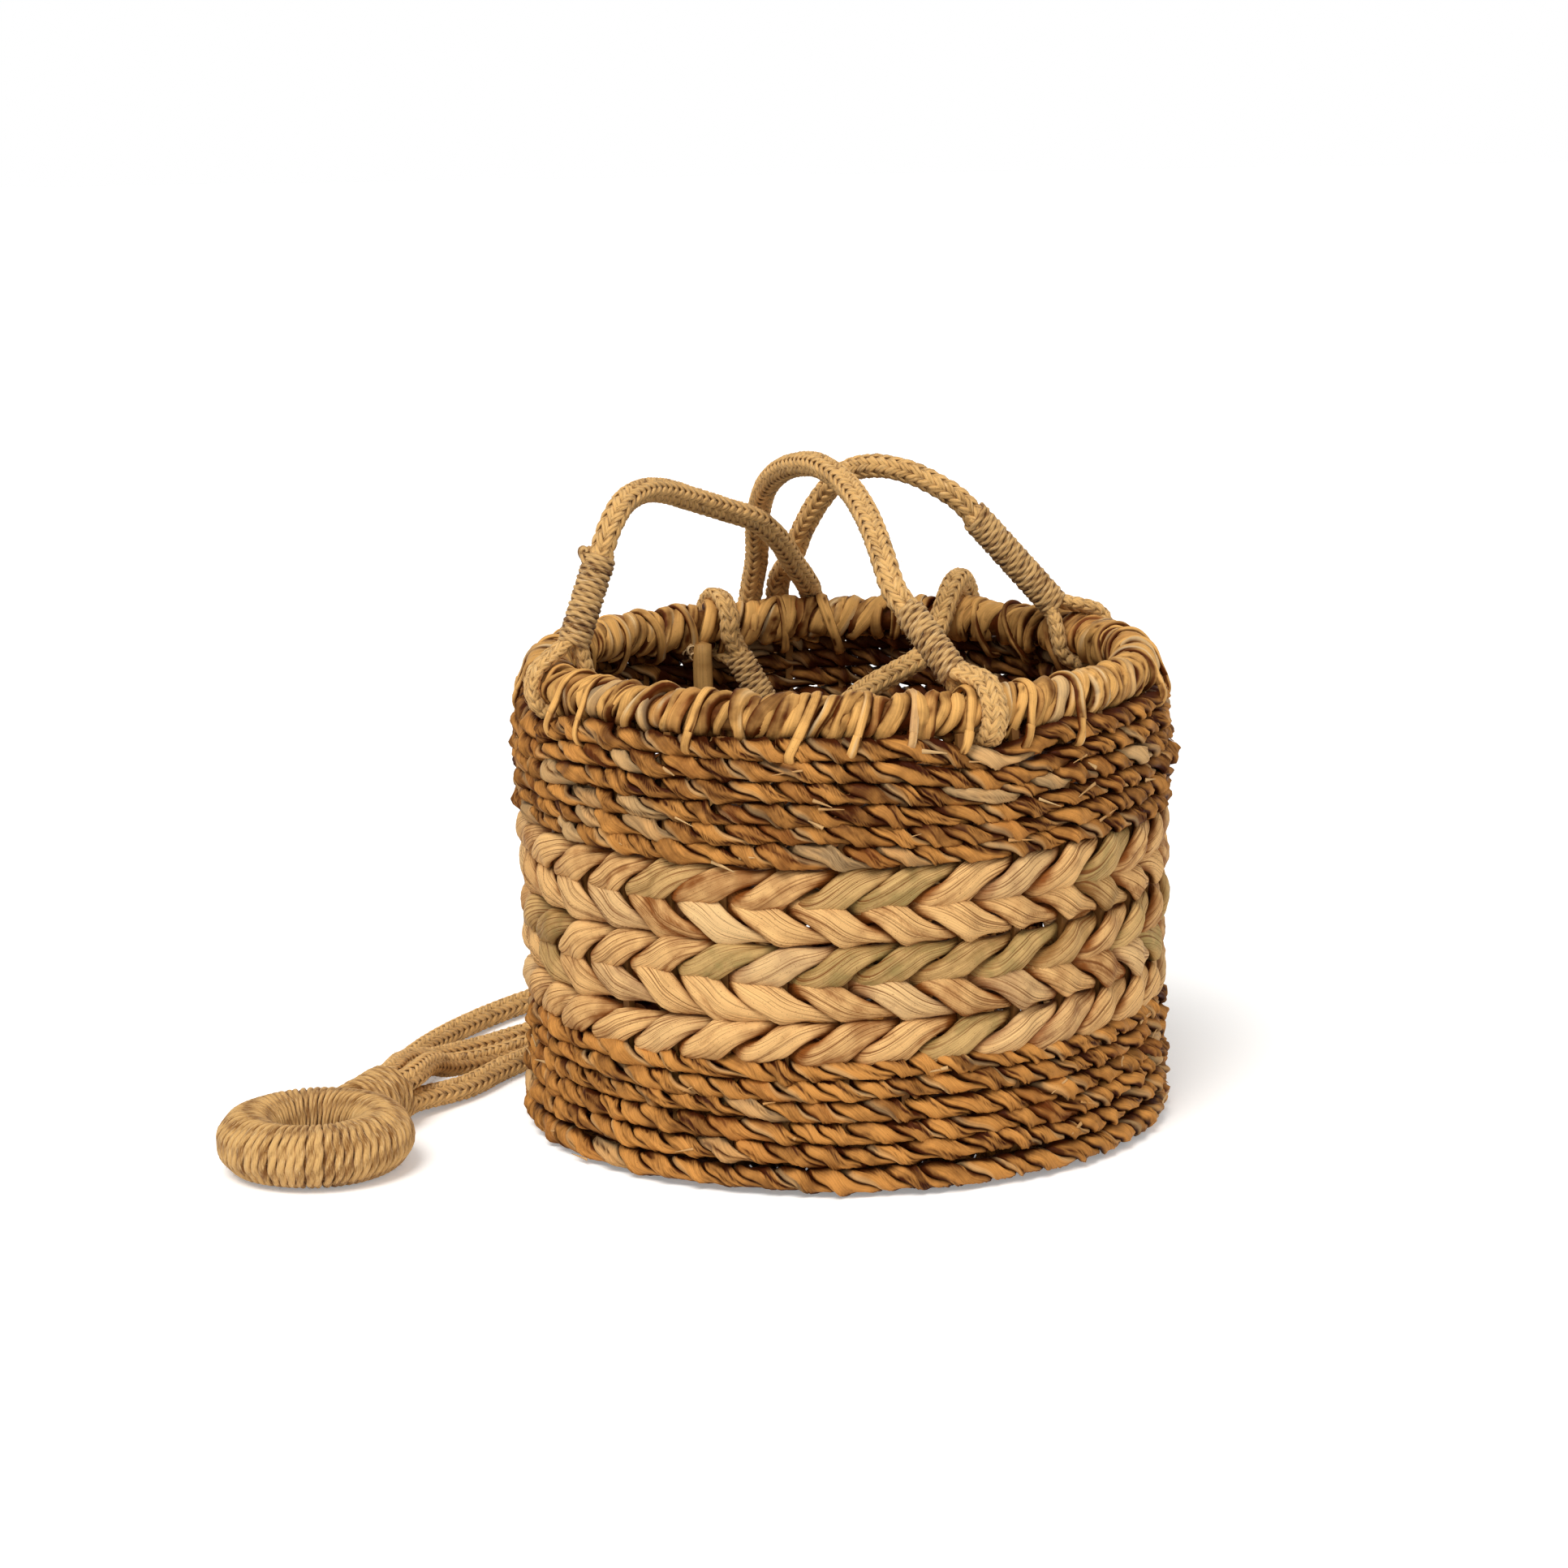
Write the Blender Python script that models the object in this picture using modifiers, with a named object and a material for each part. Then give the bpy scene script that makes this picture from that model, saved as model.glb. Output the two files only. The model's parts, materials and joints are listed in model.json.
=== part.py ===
"""Hanging planter basket: a round basket twined from seagrass and water hyacinth, hung from one
wrapped ring by four braided jute ropes, whose eyes turn on the rim.

Frame: metres, +Z up, origin at the centre of the underside, -Y towards the viewer.
"""

import math

import bmesh
import bpy
import numpy as np
from mathutils import Vector

# Basket body
BASKET_HEIGHT = 0.188
# The wall is widest this far below the top, and there this much wider than the rim's axis.
WIDEST_DROP = 0.038
WIDEST_BULGE = 0.0072
WALL_TAPER = 0.0034
# Where the wall bends on its way to the stakes' tips, inward and up.
NECK_SHARES = (0.385, 0.558)
STAKE_TIP_OFFSET = 0.0046
GAP = 0.0003

# Stakes: thin rods that start at a hub in the base and turn up into the wall
STAKE_COUNT = 34
STAKE_WIDTH = 0.003
STAKE_THICKNESS = 0.003
FIRST_STAKE_SHARE = 0.4
HUB_RADIUS = 0.032
FOOT_RUN = 0.007
FOOT_RISE = 0.0045
HEEL_RUN = 0.0009
HEEL_RISE = 0.0083
HEEL_CLEARANCE = 0.0009

# Seagrass strands, one outside and one inside the stakes in each row
SEAGRASS_THICKNESS = 0.0052
SEAGRASS_ROW_GAP = 0.0006
SECOND_STAKE_PRESS_SHARE = 1.0 / 3.0
LOWER_BAND_TOP = 0.052
LOWER_ROWS = 5
UPPER_BAND_DEPTH = 0.062
UPPER_ROWS = 6
OUTER_STRAND_SIDES = 4
INNER_STRAND_SIDES = 3

# Water hyacinth strands, two to a row, crossing between all stakes
HYACINTH_ROWS = 5
HYACINTH_THICKNESS = 0.0052
HYACINTH_CROSSING_GAP = 0.0005
HYACINTH_SIDES = 3

# Base weave below and above the spokes
BASE_EDGE_ROUNDING = 0.0012
INNER_WEAVE_INSET = 0.0006
WEAVE_GROOVE_DEPTH = 0.0011
WEAVE_GROOVES = 2

# Rim border
RIM_RADIUS = 0.116
RIM_TUBE_RADIUS = 0.0078
RIM_SIDES = 8

# Rope eyes, each a flattened ring round the rim and a doubled shank
EYE_CLEARANCE = 0.0008
EYE_THICKNESS = 0.006
EYE_WIDTH = 0.009
EYE_SEGMENTS = 12
EYE_SIDES = 6
SHANK_WIDTH = 0.012
SHANK_THICKNESS = 0.0086
SHANK_SIDES = 8
SHANK_ROOT = 0.011

# Twine whipping on each shank
TWINE_DIAMETER = 0.0025
TWINE_PITCH = 0.0035
WHIPPING_MARGIN = 0.0008
WHIPPING_EYE_MARGIN = 0.002
LOOP_POINTS = 8

# Ropes: each leaves its shank and enters the neck straight, for a share of its diameter
ROPE_DIAMETER = 0.0095
ROPE_LEAD_SHARE = 0.75
ROPE_POINTS = 30
CURVE_STEPS = 24
TURN_WEIGHT = 0.019
ROPE_LENGTH = 0.66

# Hanging ring and the neck that binds the rope ends
RING_CENTRE = (-0.205, -0.078)
RING_RADIUS = 0.026
RING_TUBE_RADIUS = 0.012
RING_SEGMENTS = 24
RING_SIDES = 8
NECK_DIRECTION = (0.369, 0.93)
NECK_LENGTH = 0.0285
NECK_RADIUS = 0.0125
NECK_SINK = 0.004
NECK_SIDES = 12
ROPE_SPACING_IN_NECK = 0.0102

# Bare cane that stands inside the back of the basket and leans towards the rim
CANE_DIAMETER = 0.008
CANE_TURN_SHARE = 0.3375
CANE_FOOT_INSET = 0.0102
CANE_HEAD_INSET = 0.0085
CANE_TOP_DROP = 0.0073

FULL_TURN = 2.0 * math.pi
STEP_ANGLE = FULL_TURN / STAKE_COUNT
UP = Vector((0.0, 0.0, 1.0))

RIM_AXIS_HEIGHT = BASKET_HEIGHT - RIM_TUBE_RADIUS
SPOKE_HEIGHT = SEAGRASS_THICKNESS + GAP + STAKE_THICKNESS / 2.0
RIM_FACE_ANGLE = math.pi / RIM_SIDES
WIDEST_HEIGHT = BASKET_HEIGHT - WIDEST_DROP
UPPER_WALL_RADIUS = RIM_RADIUS + WIDEST_BULGE
LOWER_WALL_RADIUS = UPPER_WALL_RADIUS - WALL_TAPER
HYACINTH_BAND_TOP = BASKET_HEIGHT - UPPER_BAND_DEPTH
# The stakes end just below the slanted face under the outer side of the rim.
STAKE_TIP_RADIUS = RIM_RADIUS + STAKE_TIP_OFFSET
STAKE_TIP_INSET = STAKE_TIP_OFFSET - STAKE_THICKNESS / 2.0
STAKE_TIP_DROP = RIM_TUBE_RADIUS + (GAP - math.sin(RIM_FACE_ANGLE) * STAKE_TIP_INSET) / math.cos(
    RIM_FACE_ANGLE
)
STAKE_TIP_HEIGHT = RIM_AXIS_HEIGHT - STAKE_TIP_DROP - GAP
SEAGRASS_OFFSET = STAKE_THICKNESS / 2.0 + GAP + SEAGRASS_THICKNESS / 2.0
# The rim is straight between two stakes, so its axis lies nearer the middle at an eye.
RIM_RADIUS_AT_EYE = RIM_RADIUS * math.cos(STEP_ANGLE / 2.0)
EYE_INNER_RADIUS = RIM_TUBE_RADIUS + EYE_CLEARANCE
EYE_OUTER_RADIUS = EYE_INNER_RADIUS + EYE_THICKNESS

# Each eye: the gap between two stakes that it hangs in, then the way its shank points from the
# rim's axis: inward, along the rim, and up.
EYES = {
    "left": (18, (0.018, 0.0, 0.051)),
    "front": (27, (0.029, -0.0155, 0.0355)),
    "right": (2, (0.040, 0.020, 0.051)),
    "back": (10, (0.020, -0.014, -0.036)),
}

# Where each rope enters the neck: sideways and upward, in half spacings.
NECK_SEATS = {"left": (-1, 1), "front": (1, 1), "right": (-1, -1), "back": (1, -1)}

# Rope routes from the shank to the neck, chosen by hand, in metres.
ROPE_ROUTES = {
    "left": [
        (-0.0840, -0.0245, 0.2480), (-0.0775, -0.0090, 0.2526), (-0.0700, 0.0070, 0.2522),
        (-0.0587, 0.0270, 0.2469), (-0.0462, 0.0450, 0.2391), (-0.0333, 0.0620, 0.2293),
        (-0.0236, 0.0810, 0.2178), (-0.0176, 0.1000, 0.2051), (-0.0125, 0.1140, 0.1955),
        (-0.0105, 0.1270, 0.1885), (-0.0080, 0.1350, 0.1730), (-0.0040, 0.1380, 0.1500),
        (0.0010, 0.1390, 0.1150), (0.0040, 0.1390, 0.0800), (0.0020, 0.1410, 0.0450),
        (-0.0060, 0.1490, 0.0190), (-0.0200, 0.1570, 0.0075), (-0.0420, 0.1570, 0.0052),
        (-0.0680, 0.1490, 0.0052), (-0.1000, 0.1310, 0.0052), (-0.1270, 0.1060, 0.0052),
        (-0.1510, 0.0775, 0.0053), (-0.1700, 0.0480, 0.0085), (-0.1796, 0.0200, 0.0150),
    ],
    "front": [
        (0.0150, -0.0725, 0.2330), (0.0105, -0.0550, 0.2442), (0.0032, -0.0300, 0.2539),
        (-0.0067, -0.0050, 0.2588), (-0.0150, 0.0180, 0.2586), (-0.0231, 0.0420, 0.2525),
        (-0.0292, 0.0670, 0.2405), (-0.0326, 0.0940, 0.2232), (-0.0332, 0.1100, 0.2062),
        (-0.0355, 0.1220, 0.1925), (-0.0380, 0.1315, 0.1760), (-0.0420, 0.1350, 0.1500),
        (-0.0470, 0.1340, 0.1100), (-0.0530, 0.1320, 0.0650), (-0.0600, 0.1310, 0.0320),
        (-0.0720, 0.1310, 0.0130), (-0.0880, 0.1220, 0.0058), (-0.1080, 0.1050, 0.0052),
        (-0.1290, 0.0820, 0.0052), (-0.1480, 0.0580, 0.0054), (-0.1625, 0.0340, 0.0095),
        (-0.1690, 0.0120, 0.0160),
    ],
    "right": [
        (0.0386, 0.0570, 0.2440), (0.0279, 0.0610, 0.2483), (0.0150, 0.0700, 0.2494),
        (0.0035, 0.0820, 0.2448), (-0.0065, 0.0940, 0.2326), (-0.0133, 0.1040, 0.2198),
        (-0.0189, 0.1160, 0.2044), (-0.0240, 0.1260, 0.1945), (-0.0250, 0.1340, 0.1780),
        (-0.0250, 0.1375, 0.1500), (-0.0250, 0.1385, 0.1100), (-0.0250, 0.1390, 0.0750),
        (-0.0250, 0.1415, 0.0450), (-0.0265, 0.1475, 0.0270), (-0.0295, 0.1575, 0.0174),
        (-0.0360, 0.1700, 0.0106), (-0.0480, 0.1830, 0.0058), (-0.0680, 0.1940, 0.0052),
        (-0.0940, 0.1910, 0.0052), (-0.1200, 0.1730, 0.0052), (-0.1430, 0.1440, 0.0052),
        (-0.1620, 0.1110, 0.0052), (-0.1765, 0.0760, 0.0052), (-0.1845, 0.0380, 0.0054),
    ],
    "back": [
        (-0.0200, 0.0820, 0.1190), (-0.0155, 0.0650, 0.1090), (-0.0110, 0.0480, 0.1130),
        (-0.0080, 0.0385, 0.1270), (-0.0040, 0.0410, 0.1430), (0.0030, 0.0520, 0.1530),
        (0.0120, 0.0640, 0.1585), (0.0230, 0.0720, 0.1630), (0.0350, 0.0795, 0.1690),
        (0.0410, 0.0865, 0.1780), (0.0453, 0.0935, 0.1880), (0.0490, 0.1035, 0.1946),
        (0.0523, 0.1140, 0.1954), (0.0550, 0.1230, 0.1910), (0.0568, 0.1295, 0.1805),
        (0.0565, 0.1320, 0.1660), (0.0540, 0.1315, 0.1480), (0.0485, 0.1305, 0.1100),
        (0.0430, 0.1310, 0.0700), (0.0370, 0.1325, 0.0350), (0.0280, 0.1350, 0.0145),
        (0.0140, 0.1380, 0.0064), (-0.0060, 0.1385, 0.0052), (-0.0260, 0.1365, 0.0052),
        (-0.0520, 0.1280, 0.0052), (-0.0790, 0.1135, 0.0052), (-0.1020, 0.0940, 0.0052),
        (-0.1230, 0.0700, 0.0052), (-0.1405, 0.0440, 0.0052), (-0.1540, 0.0160, 0.0054),
    ],
}


def remove_start_objects():
    """Empty the scene that Blender opens with."""
    for thing in list(bpy.data.objects):
        bpy.data.objects.remove(thing, do_unlink=True)


def make_collection(name):
    collection = bpy.data.collections.new(name)
    bpy.context.scene.collection.children.link(collection)
    return collection


def make_material(name, colour, roughness):
    """A Principled material in one linear colour."""
    material = bpy.data.materials.new(name)
    material.use_nodes = True
    shader = material.node_tree.nodes["Principled BSDF"]
    shader.inputs["Base Color"].default_value = (*colour, 1.0)
    shader.inputs["Roughness"].default_value = roughness
    shader.inputs["Metallic"].default_value = 0.0
    return material


def file_object(thing, name, collection, material):
    """Name an object, give it its material and keep it in one collection only."""
    thing.name = name
    thing.data.name = name
    if material is not None:
        thing.data.materials.clear()
        thing.data.materials.append(material)
    for other in list(thing.users_collection):
        other.objects.unlink(thing)
    collection.objects.link(thing)
    return thing


def shade_round(thing, limit_degrees=60.0):
    thing.data.shade_smooth()
    thing.data.set_sharp_from_angle(angle=math.radians(limit_degrees))


def shaped_torus(name, segments, sides, place, collection, material):
    """A closed strand: a unit torus whose corners go where place(segment, corner angle) says."""
    bpy.ops.mesh.primitive_torus_add(
        major_segments=segments, minor_segments=sides, major_radius=2.0, minor_radius=1.0
    )
    thing = file_object(bpy.context.object, name, collection, material)
    for vertex in thing.data.vertices:
        x, y, z = vertex.co
        segment = round(math.atan2(y, x) / FULL_TURN * segments) % segments
        vertex.co = place(segment, math.atan2(z, math.hypot(x, y) - 2.0))
    shade_round(thing)
    return thing


def shaped_prism(name, sides, place, collection, material):
    """A closed prism: a unit cylinder whose corners go where place(x, y, share of length) says."""
    bpy.ops.mesh.primitive_cylinder_add(vertices=sides, radius=1.0, depth=1.0)
    thing = file_object(bpy.context.object, name, collection, material)
    for vertex in thing.data.vertices:
        x, y, z = vertex.co
        vertex.co = place(x, y, z + 0.5)
    return thing


def tube(name, points, diameter, resolution, collection, material):
    """A round tube with filled ends along a list of points."""
    curve = bpy.data.curves.new(name, "CURVE")
    curve.dimensions = "3D"
    curve.bevel_depth = diameter / 2.0
    curve.bevel_resolution = resolution
    curve.use_fill_caps = True
    spline = curve.splines.new("POLY")
    spline.points.add(len(points) - 1)
    for target, point in zip(spline.points, points):
        target.co = (*point, 1.0)
    spline.use_smooth = True
    return file_object(bpy.data.objects.new(name, curve), name, collection, material)


def turned(name, profile, steps, collection, material):
    """A turned solid from a profile at +X that runs top to bottom."""
    mesh = bpy.data.meshes.new(name)
    points = [(radius, 0.0, height) for radius, height in profile]
    mesh.from_pydata(points, [(i, i + 1) for i in range(len(points) - 1)], [])
    thing = file_object(bpy.data.objects.new(name, mesh), name, collection, material)
    screw = thing.modifiers.new("Turn", "SCREW")
    screw.steps = steps
    screw.render_steps = steps
    screw.use_merge_vertices = True
    screw.merge_threshold = 0.00001
    screw.use_smooth_shade = False
    return thing


def stake_angle(index):
    return (index + FIRST_STAKE_SHARE) * STEP_ANGLE


def eye_angle(gap_index):
    """The angle of the middle of a gap between two stakes."""
    return stake_angle(gap_index + 0.5)


def ring_point(angle, radius, height):
    return Vector((radius * math.cos(angle), radius * math.sin(angle), height))


def strand_corner(corner, sides):
    """Where a corner of a strand's section lies, outward and up, as shares of its half sizes.

    An odd section fills the same width and height as an even one.
    """
    low, high = -1.0, 1.0
    if sides % 2:
        low, high = -math.cos(math.pi / sides), math.cos(math.pi / sides / 2.0)
    return (2.0 * math.cos(corner) - 1.0 - low) / (1.0 - low), math.sin(corner) / high


class WallLine:
    """The line that each stake follows, as (radius, height), from the hub to under the rim."""

    def __init__(self):
        heel_radius = LOWER_WALL_RADIUS - HEEL_RUN
        foot_radius = heel_radius - FOOT_RUN
        heel_height = SPOKE_HEIGHT + FOOT_RISE
        inward, up = NECK_SHARES
        neck_radius = UPPER_WALL_RADIUS + inward * (STAKE_TIP_RADIUS - UPPER_WALL_RADIUS)
        neck_height = WIDEST_HEIGHT + up * (STAKE_TIP_HEIGHT - WIDEST_HEIGHT)
        self.points = [
            (HUB_RADIUS, SPOKE_HEIGHT),
            (foot_radius, SPOKE_HEIGHT),
            (heel_radius, heel_height),
            (LOWER_WALL_RADIUS, heel_height + HEEL_RISE),
            (UPPER_WALL_RADIUS, WIDEST_HEIGHT),
            (neck_radius, neck_height),
            (STAKE_TIP_RADIUS, STAKE_TIP_HEIGHT),
        ]
        self.lengths = [0.0]
        for start, end in zip(self.points, self.points[1:]):
            self.lengths.append(self.lengths[-1] + math.dist(start, end))

    def direction(self, segment):
        start, end = self.points[segment], self.points[segment + 1]
        length = math.dist(start, end)
        return (end[0] - start[0]) / length, (end[1] - start[1]) / length

    def at(self, distance):
        """Point, way along and way outward at a distance along the line."""
        segment = 0
        while segment < len(self.points) - 2 and distance > self.lengths[segment + 1]:
            segment += 1
        along = self.direction(segment)
        rest = distance - self.lengths[segment]
        start = self.points[segment]
        point = (start[0] + along[0] * rest, start[1] + along[1] * rest)
        return point, along, (along[1], -along[0])

    def distance_at_height(self, height):
        """Distance along the line at which the wall reaches a height."""
        for segment in range(1, len(self.points) - 1):
            low, high = self.points[segment][1], self.points[segment + 1][1]
            if height <= high:
                share = (height - low) / (high - low)
                return self.lengths[segment] + share * (self.lengths[segment + 1] - self.lengths[segment])
        return self.lengths[-1]

    def corner(self, index):
        """Centre and thickness direction of the stake's section at one of its corners."""
        if index in (0, len(self.points) - 1):
            along = self.direction(0 if index == 0 else index - 1)
            return self.points[index], (along[1], -along[0])
        before, after = self.direction(index - 1), self.direction(index)
        normals = Vector((before[1], -before[0])), Vector((after[1], -after[0]))
        middle = (normals[0] + normals[1]).normalized()
        stretch = 1.0 / middle.dot(normals[0])
        return self.points[index], (middle.x * stretch, middle.y * stretch)


class Basket:
    """Base, stakes, woven rows and rim border."""

    def __init__(self, collection, materials):
        self.collection = collection
        self.materials = materials
        self.line = WallLine()
        self.eye_gaps = [gap for gap, _ in EYES.values()]

    def build(self):
        self.stakes()
        self.base()
        self.foot_strand()
        self.lower_rows()
        self.hyacinth_rows()
        self.upper_rows()
        self.rim()
        self.cane()

    def stakes(self):
        """All stakes and the hub that they start from, pulled out of a flat disc face by face."""
        mesh = bpy.data.meshes.new("stake_frame")
        frame = bmesh.new()
        bmesh.ops.create_cone(
            frame, cap_ends=True, segments=2 * STAKE_COUNT, radius1=1.0, radius2=1.0, depth=1.0
        )
        half_angle = math.asin(STAKE_WIDTH / 2.0 / HUB_RADIUS)
        for vertex in frame.verts:
            corner = round(math.atan2(vertex.co.y, vertex.co.x) / FULL_TURN * 2 * STAKE_COUNT)
            stake, side = divmod(corner % (2 * STAKE_COUNT), 2)
            angle = stake_angle(stake) + (half_angle if side else -half_angle)
            height = SPOKE_HEIGHT + math.copysign(STAKE_THICKNESS / 2.0, vertex.co.z)
            vertex.co = ring_point(angle, HUB_RADIUS, height)
        sides = [face for face in frame.faces if len(face.verts) == 4]
        for stake in range(STAKE_COUNT):
            outward = ring_point(stake_angle(stake), 1.0, 0.0)
            side = max(sides, key=lambda face: face.calc_center_median().dot(outward))
            sides.remove(side)
            self.pull_stake(frame, side, outward)
        bmesh.ops.recalc_face_normals(frame, faces=frame.faces)
        frame.to_mesh(mesh)
        frame.free()
        thing = bpy.data.objects.new("stake_frame", mesh)
        file_object(thing, "stake_frame", self.collection, self.materials["cane"])

    def pull_stake(self, frame, face, outward):
        """Pull one side face of the hub along the wall line."""
        sideways = UP.cross(outward)
        centre, across = self.line.corner(0)
        for index in range(1, len(self.line.points)):
            signs = {}
            last = outward * centre[0] + UP * centre[1]
            last_across = outward * across[0] + UP * across[1]
            face = bmesh.ops.extrude_discrete_faces(frame, faces=[face])["faces"][0]
            for vertex in face.verts:
                away = vertex.co - last
                signs[vertex] = (away.dot(sideways) > 0.0, away.dot(last_across) > 0.0)
            centre, across = self.line.corner(index)
            for vertex, (left, outer) in signs.items():
                depth = STAKE_THICKNESS / 2.0 if outer else -STAKE_THICKNESS / 2.0
                place = outward * (centre[0] + across[0] * depth) + UP * (centre[1] + across[1] * depth)
                vertex.co = place + sideways * (STAKE_WIDTH / 2.0 if left else -STAKE_WIDTH / 2.0)

    def base(self):
        """The weave under and above the spokes, each a disc grooved like the rows it stands for."""
        foot_radius = self.line.points[1][0] - GAP
        rounding = BASE_EDGE_ROUNDING
        under_top = SPOKE_HEIGHT - STAKE_THICKNESS / 2.0 - GAP
        under = [
            (0.0, under_top),
            (foot_radius - rounding, under_top),
            (foot_radius, under_top - rounding),
            (foot_radius, rounding),
            (foot_radius - rounding, 0.0),
            (0.0, 0.0),
        ]
        seagrass = self.materials["seagrass"]
        turned("base_under_weave", under, STAKE_COUNT, self.collection, seagrass)
        inner_bottom = SPOKE_HEIGHT + STAKE_THICKNESS / 2.0 + GAP
        inner_top = inner_bottom + SEAGRASS_THICKNESS
        foot_radius -= INNER_WEAVE_INSET
        pitch = foot_radius / (WEAVE_GROOVES + 1)
        inner = [(0.0, inner_top)]
        for groove in range(1, WEAVE_GROOVES + 1):
            middle = groove * pitch
            inner.append((middle - WEAVE_GROOVE_DEPTH, inner_top))
            inner.append((middle, inner_top - WEAVE_GROOVE_DEPTH))
            inner.append((middle + WEAVE_GROOVE_DEPTH, inner_top))
        inner += [
            (foot_radius - rounding, inner_top),
            (foot_radius, inner_top - rounding),
            (foot_radius, inner_bottom),
            (0.0, inner_bottom),
        ]
        turned("base_inner_weave", inner, STAKE_COUNT, self.collection, seagrass)

    def seagrass_strand(self, name, side, sides, centre, half_height):
        """One closed strand; centre and half height are functions of the stake's number."""

        def place(segment, corner):
            point, along, outward = self.line.at(centre(segment))
            out_share, up_share = strand_corner(corner, sides)
            across = side * (SEAGRASS_OFFSET + out_share * SEAGRASS_THICKNESS / 2.0)
            up = side * up_share * half_height(segment)
            radius = point[0] + outward[0] * across + along[0] * up
            height = point[1] + outward[1] * across + along[1] * up
            return ring_point(stake_angle(segment), radius, height)

        shaped_torus(name, STAKE_COUNT, sides, place, self.collection, self.materials["seagrass"])

    def foot_strand(self):
        """The strand round the foot, outside the stakes where they leave the base."""
        start, end = self.line.lengths[1], self.line.lengths[2]
        half = (end - start - SEAGRASS_ROW_GAP) / 2.0
        self.seagrass_strand(
            "foot_strand", 1, OUTER_STRAND_SIDES, lambda _: (start + end) / 2.0, lambda _: half
        )

    def lower_rows(self):
        start = self.line.lengths[2] + HEEL_CLEARANCE
        pitch = (self.line.distance_at_height(LOWER_BAND_TOP) - start) / LOWER_ROWS
        half = (pitch - SEAGRASS_ROW_GAP) / 2.0
        for row in range(LOWER_ROWS):
            centre = start + (row + 0.5) * pitch
            names = f"lower_row_{row + 1}_outer", f"lower_row_{row + 1}_inner"
            self.seagrass_strand(names[0], 1, OUTER_STRAND_SIDES, lambda _: centre, lambda _: half)
            self.seagrass_strand(names[1], -1, INNER_STRAND_SIDES, lambda _: centre, lambda _: half)

    def eye_nearness(self, segment):
        """1 at the two stakes beside an eye, a third at the next ones, 0 further away."""
        nearest = STAKE_COUNT
        for gap in self.eye_gaps:
            apart = abs(segment - gap - 0.5)
            nearest = min(nearest, apart, STAKE_COUNT - apart)
        if nearest < 1.0:
            return 1.0
        return SECOND_STAKE_PRESS_SHARE if nearest < 2.0 else 0.0

    def upper_rows(self):
        """Rows under the rim, pressed down and together below each rope eye."""
        start = self.line.distance_at_height(HYACINTH_BAND_TOP)
        end = self.line.distance_at_height(RIM_AXIS_HEIGHT - RIM_TUBE_RADIUS - GAP)
        pitch = (end - start) / UPPER_ROWS
        intervals = UPPER_ROWS - 1
        eye_bottom = self.line.distance_at_height(RIM_AXIS_HEIGHT - EYE_OUTER_RADIUS) - 2.0 * GAP
        press = (end - SEAGRASS_ROW_GAP / 2.0 - eye_bottom) / (1.0 + 0.5 / intervals)
        for row in range(UPPER_ROWS):

            def centre(segment, row=row):
                drop = press * self.eye_nearness(segment) * (1.0 - row / intervals)
                return end - (row + 0.5) * pitch - drop

            def half(segment):
                return (pitch - press * self.eye_nearness(segment) / intervals - SEAGRASS_ROW_GAP) / 2.0

            names = f"upper_row_{row + 1}_outer", f"upper_row_{row + 1}_inner"
            self.seagrass_strand(names[0], 1, OUTER_STRAND_SIDES, centre, half)
            self.seagrass_strand(names[1], -1, INNER_STRAND_SIDES, centre, half)

    def hyacinth_rows(self):
        """Two strands a row that pass in front of and behind each stake and cross in each gap.

        Rows cross the other way by turns, so their lobes lean left and right by turns.
        """
        start = self.line.distance_at_height(LOWER_BAND_TOP)
        end = self.line.distance_at_height(HYACINTH_BAND_TOP)
        pitch = (end - start) / HYACINTH_ROWS
        strand_height = (pitch - GAP - HYACINTH_CROSSING_GAP) / 2.0
        gap_width = LOWER_WALL_RADIUS * STEP_ANGLE
        rise = (strand_height + HYACINTH_CROSSING_GAP) / 2.0
        reach = STAKE_THICKNESS / 2.0 + GAP + HYACINTH_THICKNESS / 2.0
        # The strand slopes inward already beside the stake, so it starts further out.
        reach /= 1.0 - STAKE_WIDTH / gap_width
        for row in range(HYACINTH_ROWS):
            point, along, outward = self.line.at(end - (row + 0.5) * pitch)
            lean = 1.0 if row % 2 == 0 else -1.0
            for strand, side in (("a", 1.0), ("b", -1.0)):

                def place(segment, corner, point=point, along=along, outward=outward, lean=lean, side=side):
                    turn = segment * math.pi / 2.0
                    out_share, up_share = strand_corner(corner, HYACINTH_SIDES)
                    across = side * math.cos(turn) * reach + out_share * HYACINTH_THICKNESS / 2.0
                    up = lean * side * math.sin(turn) * rise + up_share * strand_height / 2.0
                    radius = point[0] + outward[0] * across + along[0] * up
                    height = point[1] + outward[1] * across + along[1] * up
                    return ring_point(stake_angle(segment / 2.0), radius, height)

                name = f"hyacinth_row_{row + 1}_{strand}"
                segments = 2 * STAKE_COUNT
                shaped_torus(
                    name, segments, HYACINTH_SIDES, place, self.collection, self.materials["hyacinth"]
                )

    def rim(self):
        def place(segment, corner):
            radius = RIM_RADIUS + math.cos(corner) * RIM_TUBE_RADIUS
            height = RIM_AXIS_HEIGHT + math.sin(corner) * RIM_TUBE_RADIUS
            return ring_point(stake_angle(segment), radius, height)

        name = "rim_border"
        shaped_torus(name, STAKE_COUNT, RIM_SIDES, place, self.collection, self.materials["seagrass"])

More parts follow.
